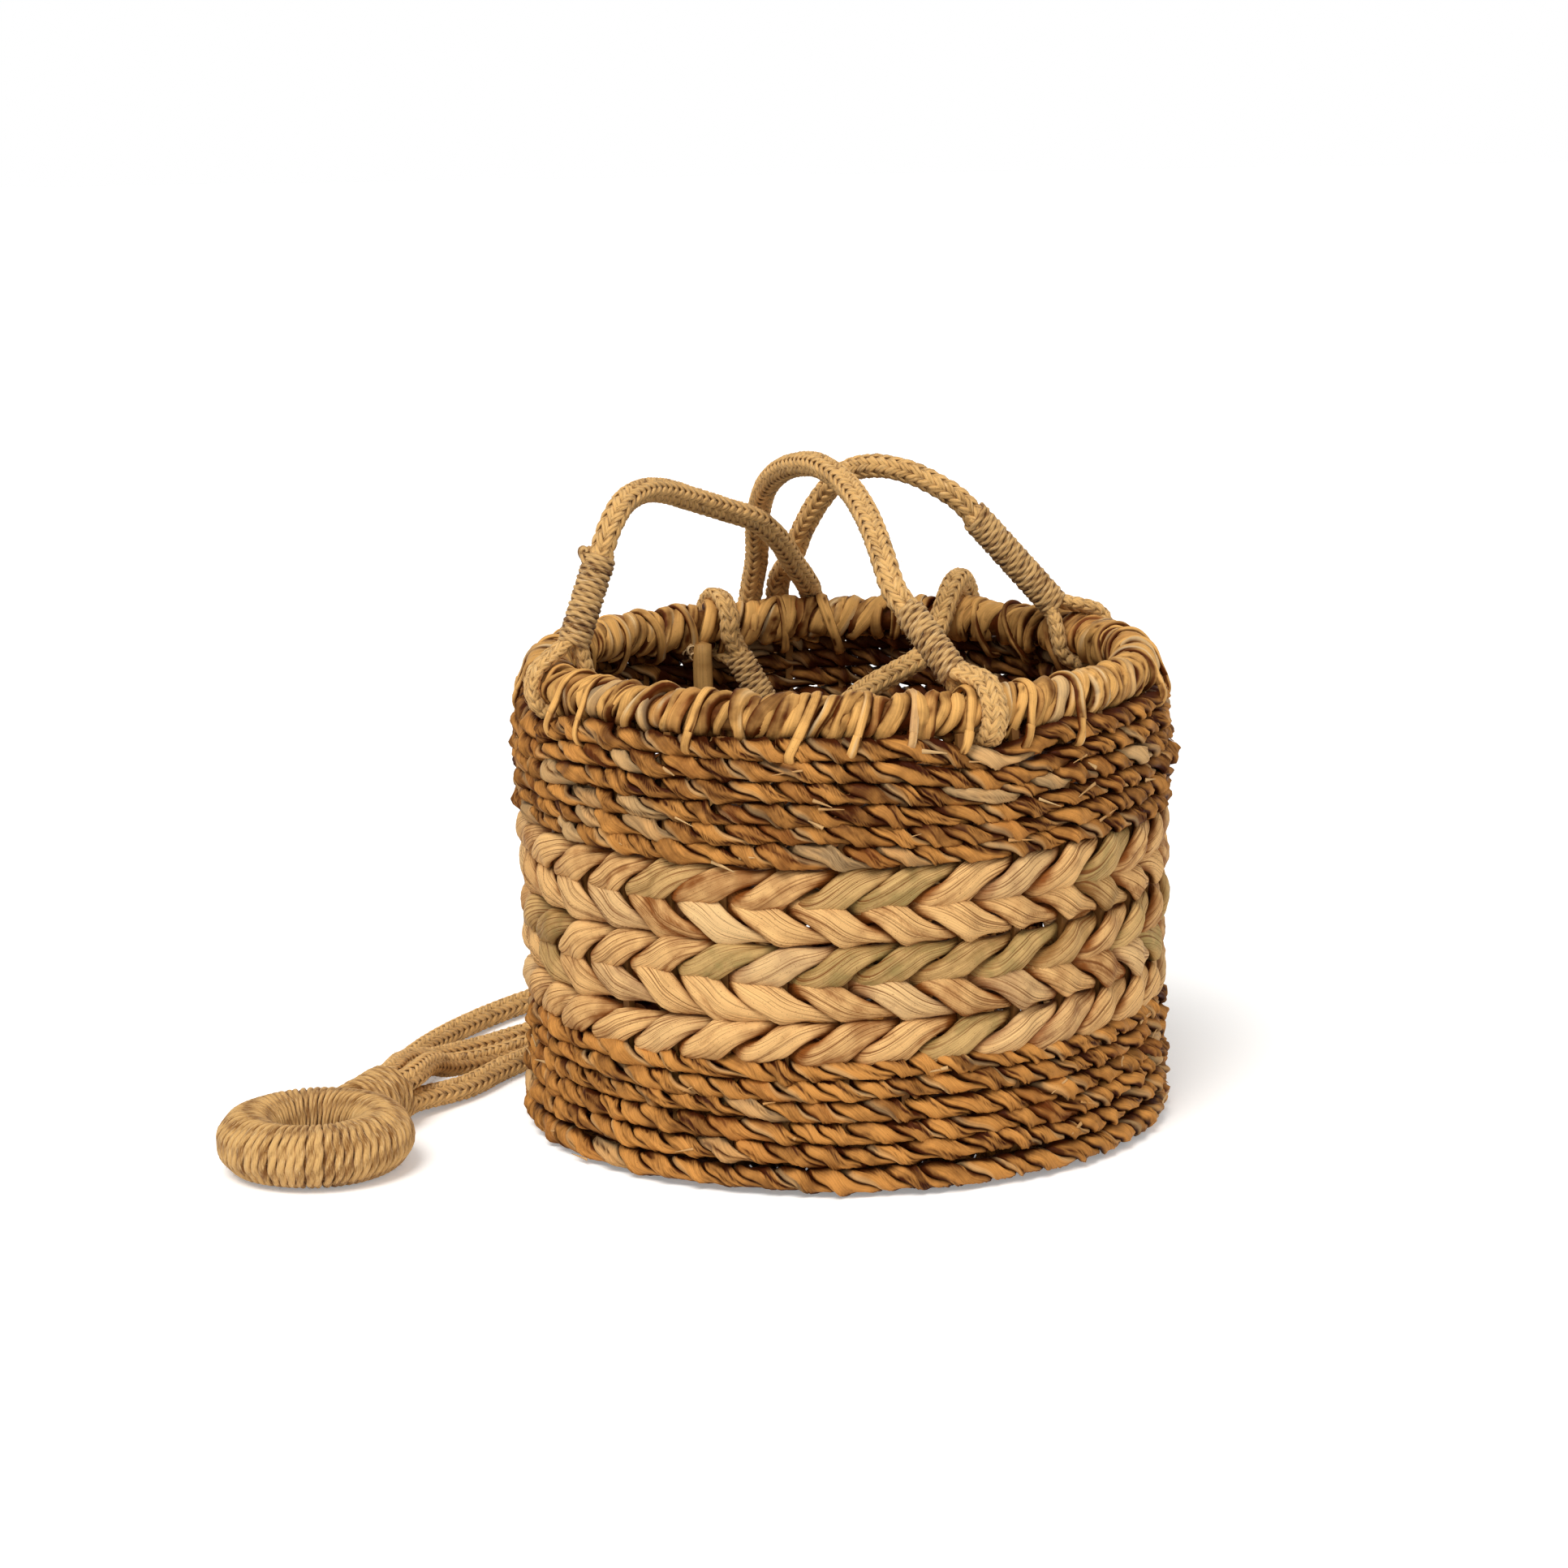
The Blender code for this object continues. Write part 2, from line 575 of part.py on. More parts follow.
    def cane(self):
        """The bare cane that stands on the base and leans towards the inside of the rim."""
        angle = CANE_TURN_SHARE * FULL_TURN
        foot_height = SPOKE_HEIGHT + STAKE_THICKNESS / 2.0 + SEAGRASS_THICKNESS + 2.0 * GAP
        foot = ring_point(angle, self.line.points[1][0] - CANE_FOOT_INSET, foot_height)
        head = ring_point(angle, RIM_RADIUS - CANE_HEAD_INSET, RIM_AXIS_HEIGHT - CANE_TOP_DROP)
        material = self.materials["cane"]
        tube("inner_cane", [foot, head], CANE_DIAMETER, 2, self.collection, material)


class RopeEye:
    """One rope's end: its eye round the rim, its doubled shank and the twine wound on it."""

    def __init__(self, name, gap, reach):
        self.name = name
        angle = eye_angle(gap)
        self.outward = ring_point(angle, 1.0, 0.0)
        self.along_rim = UP.cross(self.outward)
        self.centre = ring_point(angle, RIM_RADIUS_AT_EYE, RIM_AXIS_HEIGHT)
        shank = reach[1] * self.along_rim - reach[0] * self.outward + reach[2] * UP
        self.length = shank.length
        self.direction = shank.normalized()
        self.wide = self.along_rim.cross(self.direction).normalized()
        self.narrow = self.direction.cross(self.wide)
        self.tip = self.centre + shank

    def build(self, collection, cutters, materials):
        def place_eye(segment, corner):
            angle = segment / EYE_SEGMENTS * FULL_TURN
            radius = EYE_INNER_RADIUS + EYE_THICKNESS / 2.0 * (1.0 + math.cos(corner))
            plane = self.outward * math.cos(angle) + UP * math.sin(angle)
            return self.centre + plane * radius - self.along_rim * (math.sin(corner) * EYE_WIDTH / 2.0)

        def place_shank(x, y, share):
            along = SHANK_ROOT + share * (self.length - SHANK_ROOT)
            across = self.wide * (x * SHANK_WIDTH / 2.0) + self.narrow * (y * SHANK_THICKNESS / 2.0)
            return self.centre + self.direction * along + across

        name = f"rope_eye_{self.name}"
        eye = shaped_torus(name, EYE_SEGMENTS, EYE_SIDES, place_eye, collection, materials["jute"])
        shank = shaped_prism(f"{name}_shank", SHANK_SIDES, place_shank, cutters, None)
        shank.hide_render = True
        shank.display_type = "WIRE"
        union = eye.modifiers.new("Shank", "BOOLEAN")
        union.operation = "UNION"
        union.solver = "EXACT"
        union.object = shank
        self.whipping(collection, materials["twine"])

    def whipping(self, collection, material):
        """Twine wound round the shank from just above the eye to the shank's end."""
        start = EYE_OUTER_RADIUS + TWINE_DIAMETER / 2.0 + WHIPPING_EYE_MARGIN
        end = self.length - TWINE_DIAMETER / 2.0 - WHIPPING_MARGIN
        turns = math.floor((end - start) / TWINE_PITCH)
        grow = (GAP + TWINE_DIAMETER / 2.0) / math.cos(math.pi / LOOP_POINTS)
        half_width = SHANK_WIDTH / 2.0 + grow
        half_thickness = SHANK_THICKNESS / 2.0 + grow
        # The shank's corners lie at the same angles as the points of a loop.
        points = []
        for step in range(turns * LOOP_POINTS + 1):
            angle = step / LOOP_POINTS * FULL_TURN
            along = start + (end - start) * step / (turns * LOOP_POINTS)
            across = self.wide * (math.cos(angle) * half_width)
            across += self.narrow * (math.sin(angle) * half_thickness)
            points.append(self.centre + self.direction * along + across)
        gap = least_gap(points, LOOP_POINTS, TWINE_DIAMETER)
        name = f"whipping_{self.name}"
        print(f"{name}: {turns} turns, least gap to itself {gap * 1000.0:.2f} mm")
        tube(name, points, TWINE_DIAMETER, 1, collection, material)


def least_gap(points, loop_points, diameter):
    """Least gap between a wound tube's runs that lie about a loop apart or more."""
    places = np.array([tuple(point) for point in points])
    starts, ways = places[:-1], np.diff(places, axis=0)
    shares = np.linspace(0.0, 1.0, 9)
    runs = starts[:, None, :] + ways[:, None, :] * shares[None, :, None]
    least = math.inf
    for first in range(len(runs)):
        later = runs[first + loop_points // 2 + 1:]
        if len(later):
            apart = np.linalg.norm(runs[first][:, None, None, :] - later[None, :, :, :], axis=-1)
            least = min(least, float(apart.min()))
    return least - diameter


def smooth_curve(points):
    """A dense line through the points: a centripetal Catmull-Rom spline."""
    places = [np.array(point, float) for point in points]
    places = [2.0 * places[0] - places[1]] + places + [2.0 * places[-1] - places[-2]]
    dense = []
    for index in range(1, len(places) - 2):
        p0, p1, p2, p3 = places[index - 1:index + 3]
        t1 = math.sqrt(np.linalg.norm(p1 - p0))
        t2 = t1 + math.sqrt(np.linalg.norm(p2 - p1))
        t3 = t2 + math.sqrt(np.linalg.norm(p3 - p2))
        for step in range(CURVE_STEPS):
            t = t1 + (t2 - t1) * step / CURVE_STEPS
            a1 = (t1 - t) / t1 * p0 + t / t1 * p1
            a2 = (t2 - t) / (t2 - t1) * p1 + (t - t1) / (t2 - t1) * p2
            a3 = (t3 - t) / (t3 - t2) * p2 + (t - t2) / (t3 - t2) * p3
            b1 = (t2 - t) / t2 * a1 + t / t2 * a2
            b2 = (t3 - t) / (t3 - t1) * a2 + (t - t1) / (t3 - t1) * a3
            dense.append((t2 - t) / (t2 - t1) * b1 + (t - t1) / (t2 - t1) * b2)
    dense.append(places[-2])
    return np.array(dense)


def thin_out(dense, count, turn_weight):
    """Pick points from a dense line, closer together where it bends."""
    ways = np.diff(dense, axis=0)
    lengths = np.linalg.norm(ways, axis=1)
    ways /= lengths[:, None]
    turning = np.degrees(np.arccos(np.clip((ways[1:] * ways[:-1]).sum(axis=1), -1.0, 1.0)))
    weights = lengths.copy()
    weights[1:] += np.radians(turning) * turn_weight
    travelled = np.concatenate([[0.0], np.cumsum(weights)])
    wanted = np.linspace(0.0, travelled[-1], count)
    return np.stack([np.interp(wanted, travelled, dense[:, axis]) for axis in range(3)], axis=1)


class HangingRing:
    """The wrapped ring, the neck that binds the rope ends below it, and the four ropes."""

    def __init__(self):
        self.lift = max(RING_TUBE_RADIUS, NECK_RADIUS) + GAP
        self.centre = Vector((*RING_CENTRE, self.lift))
        self.direction = Vector((*NECK_DIRECTION, 0.0)).normalized()
        self.sideways = UP.cross(-self.direction)
        self.neck_start = RING_RADIUS + RING_TUBE_RADIUS - NECK_SINK
        self.mouth = self.centre + self.direction * (self.neck_start + NECK_LENGTH)

    def build(self, collection, cutters, materials):
        jute = materials["jute_wrap"]
        self.torus("hanging_ring", RING_TUBE_RADIUS, collection, jute)
        neck = self.neck(collection, jute)
        cutter = self.torus("ring_seat_cutter", RING_TUBE_RADIUS + GAP, cutters, None)
        cutter.hide_render = True
        cutter.display_type = "WIRE"
        seat = neck.modifiers.new("Seat", "BOOLEAN")
        seat.operation = "DIFFERENCE"
        seat.solver = "EXACT"
        seat.object = cutter

    def torus(self, name, tube_radius, collection, material):
        def place(segment, corner):
            angle = segment / RING_SEGMENTS * FULL_TURN
            around = Vector((math.cos(angle), math.sin(angle), 0.0))
            radius = RING_RADIUS + math.cos(corner) * tube_radius
            return self.centre + around * radius + UP * (math.sin(corner) * tube_radius)

        return shaped_torus(name, RING_SEGMENTS, RING_SIDES, place, collection, material)

    def neck(self, collection, material):
        def place(x, y, share):
            along = self.neck_start + share * NECK_LENGTH
            across = self.sideways * (x * NECK_RADIUS) + UP * (y * NECK_RADIUS)
            return self.centre + self.direction * along + across

        return shaped_prism("ring_neck_binding", NECK_SIDES, place, collection, material)

    def rope(self, eye, collection, material):
        """One rope, from its shank's end to its seat in the neck."""
        sideways, upward = NECK_SEATS[eye.name]
        half = ROPE_SPACING_IN_NECK / 2.0
        end = self.mouth + self.sideways * (sideways * half) + UP * (upward * half)
        start = eye.tip
        straight = ROPE_DIAMETER * ROPE_LEAD_SHARE
        route = [start + eye.direction * GAP, start + eye.direction * straight]
        route += [Vector(point) for point in ROPE_ROUTES[eye.name]]
        route += [end + self.direction * (ROPE_DIAMETER + GAP), end + self.direction * GAP]
        dense = smooth_curve(route)
        length = np.linalg.norm(np.diff(dense, axis=0), axis=1).sum()
        print(f"rope_{eye.name}: {length:.3f} m long, {ROPE_LENGTH} m wanted")
        between = thin_out(dense[CURVE_STEPS:-CURVE_STEPS], ROPE_POINTS - 2, TURN_WEIGHT)
        points = [dense[0], *between, dense[-1]]
        tube(f"rope_{eye.name}", points, ROPE_DIAMETER, 2, collection, material)


def main():
    remove_start_objects()
    collection = make_collection("hanging_planter_basket")
    cutters = make_collection("cutters")
    materials = {
        "seagrass": make_material("seagrass", (0.47, 0.23, 0.075), 0.55),
        "hyacinth": make_material("water_hyacinth", (0.68, 0.44, 0.22), 0.6),
        "cane": make_material("cane", (0.55, 0.38, 0.18), 0.6),
        "jute": make_material("jute_rope", (0.40, 0.27, 0.12), 0.9),
        "jute_wrap": make_material("jute_wrap", (0.50, 0.35, 0.17), 0.9),
        "twine": make_material("whipping_twine", (0.46, 0.31, 0.14), 0.85),
    }
    Basket(collection, materials).build()
    ring = HangingRing()
    ring.build(collection, cutters, materials)
    for name, (gap, reach) in EYES.items():
        eye = RopeEye(name, gap, reach)
        eye.build(collection, cutters, materials)
        ring.rope(eye, collection, materials["jute"])


if __name__ == "__main__":
    main()
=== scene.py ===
"""Looks of the hanging planter basket: twined seagrass and water hyacinth, a wrapped rim, four
braided jute ropes with whipped eyes, and a wrapped hanging ring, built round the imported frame.

Sizes are metres. Angles run anticlockwise seen from above, from +X. The photograph looks along +Y.
"""

import json
import logging
import math
from collections.abc import Callable
from dataclasses import dataclass, field, replace
from enum import Enum
from typing import ClassVar

import bpy
import numpy as np
from mathutils import Euler, Matrix, Vector


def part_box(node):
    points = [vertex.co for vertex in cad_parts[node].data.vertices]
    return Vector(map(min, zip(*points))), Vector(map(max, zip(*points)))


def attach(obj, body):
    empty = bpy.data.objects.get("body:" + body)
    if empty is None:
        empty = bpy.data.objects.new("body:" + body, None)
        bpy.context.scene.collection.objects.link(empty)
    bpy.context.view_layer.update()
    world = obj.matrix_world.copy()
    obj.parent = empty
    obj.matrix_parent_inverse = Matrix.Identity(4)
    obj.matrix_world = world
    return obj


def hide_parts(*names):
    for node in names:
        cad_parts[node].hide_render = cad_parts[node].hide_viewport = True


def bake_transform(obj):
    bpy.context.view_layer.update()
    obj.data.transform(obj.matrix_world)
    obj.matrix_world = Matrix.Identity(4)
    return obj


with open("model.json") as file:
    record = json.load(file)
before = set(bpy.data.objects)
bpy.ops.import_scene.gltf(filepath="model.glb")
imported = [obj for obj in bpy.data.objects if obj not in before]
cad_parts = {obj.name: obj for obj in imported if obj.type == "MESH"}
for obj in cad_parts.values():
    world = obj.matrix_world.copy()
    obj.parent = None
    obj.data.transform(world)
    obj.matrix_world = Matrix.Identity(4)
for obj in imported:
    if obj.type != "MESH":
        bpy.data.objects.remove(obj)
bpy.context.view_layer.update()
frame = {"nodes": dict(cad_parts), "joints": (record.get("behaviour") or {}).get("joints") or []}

Array = np.ndarray
Colour = tuple[float, float, float]
Random = np.random.Generator
Socket = bpy.types.NodeSocket
LOG = logging.getLogger("basket")
FULL_TURN = 2.0 * math.pi
UP = np.array([0.0, 0.0, 1.0])
ROOT = "root"
SEED = 20260

STAKES = 34
FIRST_STAKE_SHARE = 0.4
STEP_ANGLE = FULL_TURN / STAKES
EYE_GAPS = {"left": 18, "front": 27, "right": 2, "back": 10}

# Each rope's eye: which way its shank points from the rim's axis: inward, along the rim, and up.
ROPE_ENDS = (
    ("left", 0.018, 0.0, 0.051),
    ("front", 0.029, -0.0155, 0.0355),
    ("right", 0.040, 0.020, 0.051),
    ("back", 0.020, -0.014, -0.036),
)


class Slot(Enum):
    """The record's material slots."""

    SEAGRASS = "seagrass"
    HYACINTH = "water_hyacinth"
    CANE = "cane"
    ROPE = "jute_rope"
    WRAP = "jute_wrap"
    TWINE = "whipping_twine"


class Lean(Enum):
    """Which way a row's lobes lean, seen from outside."""

    RISING = 1.0
    FALLING = -1.0


def source(number: int) -> Random:
    """A piece's own random source."""
    return np.random.default_rng(SEED + number)


def stake_angle(number: Array | float) -> Array | float:
    """Angle of a stake, or of a place between two stakes, by its number."""
    return (number + FIRST_STAKE_SHARE) * STEP_ANGLE


def circle(count: int) -> Array:
    """Angles spread evenly over a full turn."""
    return np.arange(count) / count * FULL_TURN


def wrapped(angle: Array | float) -> Array | float:
    """Angles brought to within half a turn of 0."""
    return np.angle(np.exp(1j * angle))


def stakes_away(angle: Array | float) -> list:
    """Distances of a place on the wall from each rope eye, in stakes."""
    return [np.abs(wrapped(angle - stake_angle(gap + 0.5))) / STEP_ANGLE for gap in EYE_GAPS.values()]


def unit(vectors: Array) -> Array:
    """Vectors of length one."""
    return vectors / np.maximum(np.linalg.norm(vectors, axis=-1, keepdims=True), 1e-12)


def polar(angle: Array, radius: Array | float, height: Array | float) -> Array:
    """Points from their angles, radii and heights."""
    angle, radius, height = np.broadcast_arrays(angle, radius, height)
    return np.stack([radius * np.cos(angle), radius * np.sin(angle), height], axis=-1)


def around(angle: Array, first: Array, second: Array) -> Array:
    """Directions turned by an angle from the first way to the second."""
    return first * np.cos(angle)[:, None] + second * np.sin(angle)[:, None]


def outline(count: int, sharpness: float = 0.0) -> Array:
    """A unit outline, (count, 2): round, or drawn to an edge above and below."""
    angle = circle(count)
    across = np.cos(angle) * np.abs(np.cos(angle)) ** sharpness
    return np.stack([across, np.sin(angle)], axis=1)


def wobble(phase: Array, rng: Random, lowest: int, highest: int) -> Array:
    """A smooth random wave round a closed ring.

    Args:
        phase: angles from 0 to a full turn.
        rng: the source of the random phases.
        lowest: the fewest waves in a full turn.
        highest: the most waves in a full turn.

    Returns:
        Values of about -1 to 1, which meet after a full turn.
    """
    counts = rng.integers(lowest, highest + 1, 5)
    shifts = rng.uniform(0.0, FULL_TURN, 5)
    waves = [np.sin(phase * count + shift) for count, shift in zip(counts, shifts)]
    return np.sum(waves, axis=0) / math.sqrt(len(waves))


def lobes_of(twist: Array, count: int) -> tuple[Array, Array]:
    """The lobe that each centre of a twisted strand lies on, and its place on it, -1 to 1."""
    turns = (twist + math.pi) / FULL_TURN
    return np.floor(turns).astype(int) % count, 2.0 * np.mod(turns, 1.0) - 1.0


def smooth_curve(points: list, steps: int = 24) -> Array:
    """A dense line through the points, by a centripetal Catmull-Rom spline.

    Args:
        points: the route's own points.
        steps: points made for each span.

    Returns:
        The dense line, (N, 3).
    """
    places = [np.array(point, float) for point in points]
    places = [2.0 * places[0] - places[1]] + places + [2.0 * places[-1] - places[-2]]
    share = np.linspace(0.0, 1.0, steps, endpoint=False)[:, None]
    dense = []
    for p0, p1, p2, p3 in zip(places, places[1:], places[2:], places[3:]):
        t1 = math.sqrt(np.linalg.norm(p1 - p0))
        t2 = t1 + math.sqrt(np.linalg.norm(p2 - p1))
        t3 = t2 + math.sqrt(np.linalg.norm(p3 - p2))
        t = t1 + (t2 - t1) * share
        a1 = (t1 - t) / t1 * p0 + t / t1 * p1
        a2 = (t2 - t) / (t2 - t1) * p1 + (t - t1) / (t2 - t1) * p2
        a3 = (t3 - t) / (t3 - t2) * p2 + (t - t2) / (t3 - t2) * p3
        b1 = (t2 - t) / t2 * a1 + t / t2 * a2
        b2 = (t3 - t) / (t3 - t1) * a2 + (t - t1) / (t3 - t1) * a3
        dense.append((t2 - t) / (t2 - t1) * b1 + (t - t1) / (t2 - t1) * b2)
    return np.concatenate(dense + [places[-2][None]])


def travelled(line: Array) -> Array:
    """Distance along a line at each of its points."""
    return np.concatenate([[0.0], np.cumsum(np.linalg.norm(np.diff(line, axis=0), axis=1))])


def spaced(line: Array, step: float) -> Array:
    """The line again, with a point about every step."""
    along = travelled(line)
    wanted = np.linspace(0.0, along[-1], max(3, round(along[-1] / step) + 1))
    return np.stack([np.interp(wanted, along, line[:, k]) for k in range(3)], axis=1)


def carried_frames(line: Array, start: Vector) -> tuple[Array, Array]:
    """Directions across a line that follow it without spinning round it.

    Args:
        line: the points, (N, 3).
        start: a direction across the line at its first point.

    Returns:
        Two directions across, each (N, 3).
    """
    tangents = unit(np.gradient(line, axis=0))
    across = np.empty_like(line)
    current = np.array(start, float)
    for index, tangent in enumerate(tangents):
        current = current - tangent * np.dot(current, tangent)
        current = current / np.linalg.norm(current)
        across[index] = current
    return across, np.cross(tangents, across)


@dataclass
class StrandMesh:
    """Collects swept strands and makes one mesh of them.

    Each point carries a leaf value (brightness, hue and paleness, 0 to 1) and a UV, whose U runs
    round the strand and whose V runs along it, in centimetres. What is swept into the mesh draws
    from its random source.
    """

    CAP_HEIGHT: ClassVar[float] = 0.4
    CAP_UV: ClassVar[list] = [[0.0, 0.0], [0.1, 0.0], [0.05, 0.1]]

    rng: Random
    points: list = field(default_factory=list)
    faces: list = field(default_factory=list)
    leaves: list = field(default_factory=list)
    maps: list = field(default_factory=list)
    count: int = 0

    def sweep(
        self, line: Array, outward: Array, section: Array, leaf: Array | Colour, closed: bool = False,
        shift: float = 0.0, spin: Array | None = None,
    ) -> None:
        """Adds one strand.

        Args:
            line: centres, (N, 3).
            outward: a direction across the strand, (3,) or (N, 3).
            section: the outline, (M, 2) or (N, M, 2): outward and sideways, in metres.
            leaf: brightness, hue and paleness, (3,), (N, 3) or (N, M, 3).
            closed: whether the last centre joins the first one.
            shift: added to V, so that strands differ.
            spin: added to U at each centre, so that lines run slanting.
        """
        first, rows, sides = self.count, len(line), section.shape[-2]
        spin = np.zeros(rows) if spin is None else spin
        if closed:
            tangent = unit(np.roll(line, -1, axis=0) - np.roll(line, 1, axis=0))
        else:
            tangent = unit(np.gradient(line, axis=0))
        aside = unit(np.cross(tangent, outward))
        facing = np.cross(aside, tangent)
        ring = line[:, None] + facing[:, None] * section[..., :1] + aside[:, None] * section[..., 1:]
        leaf = np.asarray(leaf)
        leaf = np.broadcast_to(leaf[:, None] if leaf.ndim == 2 else leaf, (rows, sides, 3))
        self.points.append(ring.reshape(-1, 3))
        self.leaves.append(leaf.reshape(-1, 3))
        i = np.arange(rows if closed else rows - 1)[:, None]
        j = np.arange(sides)[None]
        low, high = i * sides, (i + 1) % rows * sides
        quads = np.stack([low + j, low + (j + 1) % sides, high + (j + 1) % sides, high + j], axis=-1)
        self.faces.append(quads.reshape(-1, 4) + first)
        along = travelled(np.concatenate([line, line[:1]]) if closed else line) * 100.0 + shift
        u0, u1 = j / sides + spin[i], j / sides + spin[(i + 1) % rows]
        v0, v1 = np.broadcast_to(along[i], u0.shape), np.broadcast_to(along[i + 1], u0.shape)
        step = 1.0 / sides
        corners = [(u0, v0), (u0 + step, v0), (u1 + step, v1), (u1, v1)]
        self.maps.append(np.stack([np.stack(corner, -1) for corner in corners], axis=2).reshape(-1, 2))
        self.count += rows * sides
        if not closed:
            self.cap(ring[0], ring[1], leaf[0], first, -1)
            self.cap(ring[-1], ring[-2], leaf[-1], first + (rows - 1) * sides, 1)

    def cap(self, ring: Array, inner: Array, leaf: Array, first: int, way: int) -> None:
        """Closes one end of an open strand with a low point.

        Args:
            ring: the end's outline.
            inner: the outline next to it.
            leaf: the end's leaf values.
            first: the number of the outline's first point.
            way: 1 at the strand's last end and -1 at its first one, where the fan turns over.
        """
        centre = ring.mean(axis=0)
        size = np.linalg.norm(ring - centre, axis=1).mean()
        j = np.arange(len(ring))
        edge = (first + j, first + (j + 1) % len(ring))[::way]
        self.points.append((centre + unit(centre - inner.mean(axis=0)) * size * self.CAP_HEIGHT)[None])
        self.leaves.append(leaf.mean(axis=0)[None])
        self.faces.append(np.stack([*edge, np.full(len(ring), self.count)], axis=-1))
        self.maps.append(np.tile(self.CAP_UV, (len(ring), 1)))
        self.count += 1

    def build(self, name: str) -> bpy.types.Object:
        """Makes the mesh object and links it.

        Args:
            name: the piece's name.

        Returns:
            The object, at the origin.
        """
        mesh = bpy.data.meshes.new(name)
        points = np.concatenate(self.points).astype(np.float32)
        sizes = np.concatenate([np.full(len(part), part.shape[1]) for part in self.faces])
        corners = np.concatenate([part.ravel() for part in self.faces])
        mesh.vertices.add(len(points))
        mesh.vertices.foreach_set("co", points.ravel())
        mesh.loops.add(len(corners))
        mesh.loops.foreach_set("vertex_index", corners.astype(np.int32))
        mesh.polygons.add(len(sizes))
        starts = np.concatenate([[0], np.cumsum(sizes)[:-1]])
        mesh.polygons.foreach_set("loop_start", starts.astype(np.int32))
        mesh.update(calc_edges=True)
        mesh.validate()
        layer = mesh.uv_layers.new(name="strand")
        layer.data.foreach_set("uv", np.concatenate(self.maps).astype(np.float32).ravel())
        # The leaf brightness holds the strand's own tone and also painted shade and painted highlights.
        leaf = mesh.attributes.new("leaf", "FLOAT_COLOR", "POINT")
        values = np.clip(np.concatenate(self.leaves), 0.0, 1.0)
        values = np.concatenate([values, np.ones((len(values), 1))], axis=1)
        leaf.data.foreach_set("color", values.astype(np.float32).ravel())
        mesh.shade_smooth()
        thing = bpy.data.objects.new(name, mesh)
        bpy.context.scene.collection.objects.link(thing)
        return thing


class Group:
    """A shader node group under construction, whose inputs and outputs are single values."""

    def __init__(self, name: str, inputs: dict[str, float], outputs: tuple) -> None:
        """Starts the group.

        Args:
            name: the group's name.
            inputs: input names and their default values.
            outputs: output names.
        """
        self.tree = bpy.data.node_groups.new(name, "ShaderNodeTree")
        for label, value in inputs.items():
            socket = self.tree.interface.new_socket(label, in_out="INPUT", socket_type="NodeSocketFloat")
            socket.default_value = value
        for label in outputs:
            self.tree.interface.new_socket(label, in_out="OUTPUT", socket_type="NodeSocketFloat")
        self.entry = self.tree.nodes.new("NodeGroupInput").outputs
        self.exit = self.tree.nodes.new("NodeGroupOutput").inputs


@dataclass
class Wiring:
    """Short calls that add nodes to one node tree."""

    tree: bpy.types.NodeTree

    def node(self, kind: str, inputs: dict | None = None, **settings: object) -> bpy.types.NodeOutputs:
        """Adds a node.

        Args:
            kind: its type.
            inputs: what goes into its sockets, by their names or numbers.
            settings: its properties.

        Returns:
            Its outputs.
        """
        made = self.tree.nodes.new(kind)
        for key, value in settings.items():
            setattr(made, key, value)
        for key, value in (inputs or {}).items():
            self.put(made.inputs[key], value)
        return made.outputs

    def put(self, socket: Socket, value: object) -> None:
        """Links an output to a socket, or sets the socket's constant."""
        if isinstance(value, Socket):
            self.tree.links.new(value, socket)
        elif isinstance(value, tuple) and len(value) == 3 and socket.type == "RGBA":
            socket.default_value = (*value, 1.0)
        else:
            socket.default_value = value

    def math(self, operation: str, first: object, second: object = 0.0) -> Socket:
        """A Math node's result."""
        return self.node("ShaderNodeMath", {0: first, 1: second}, operation=operation)[0]

    def mix(self, factor: object, first: object, second: object, blend: str = "MIX") -> Socket:
        """A colour mixed by a factor."""
        inputs = {"Factor": factor, 6: first, 7: second}
        return self.node("ShaderNodeMix", inputs, data_type="RGBA", blend_type=blend)[2]

    def ramp(self, value: object, low: float, high: float, start: float = 0.0, end: float = 1.0) -> Socket:
        """A value mapped from low..high to start..end, and held there."""
        inputs = dict(enumerate((value, low, high, start, end)))
        return self.node("ShaderNodeMapRange", inputs, interpolation_type="SMOOTHSTEP")[0]

    def noise(self, place: Socket, scale: float, detail: float, roughness: float = 0.5) -> Socket:
        """A noise texture's value."""
        inputs = {"Vector": place, "Scale": scale, "Detail": detail, "Roughness": roughness}
        return self.node("ShaderNodeTexNoise", inputs)["Fac"]

    def bump(self, height: Socket, strength: float, distance: float) -> Socket:
        """A normal raised by a height."""
        return self.node("ShaderNodeBump", {"Height": height, "Strength": strength, "Distance": distance})[0]

    def leaf_values(self) -> bpy.types.NodeOutputs:
        """Brightness, hue and paleness that the mesh carries."""
        colour = self.node("ShaderNodeAttribute", attribute_name="leaf")["Color"]
        return self.node("ShaderNodeSeparateColor", {0: colour})

    def shared(self, maker: Callable, **values: float) -> bpy.types.NodeOutputs:
        """Places a node group that several materials share.

        Args:
            maker: the function that makes it, on first use, under its own name.
            values: constants for its inputs, with _ for a space.

        Returns:
            The group's outputs.
        """
        tree = bpy.data.node_groups.get(maker.__name__) or maker(maker.__name__)
        inputs = {key.replace("_", " "): value for key, value in values.items()}
        return self.node("ShaderNodeGroup", inputs, node_tree=tree)


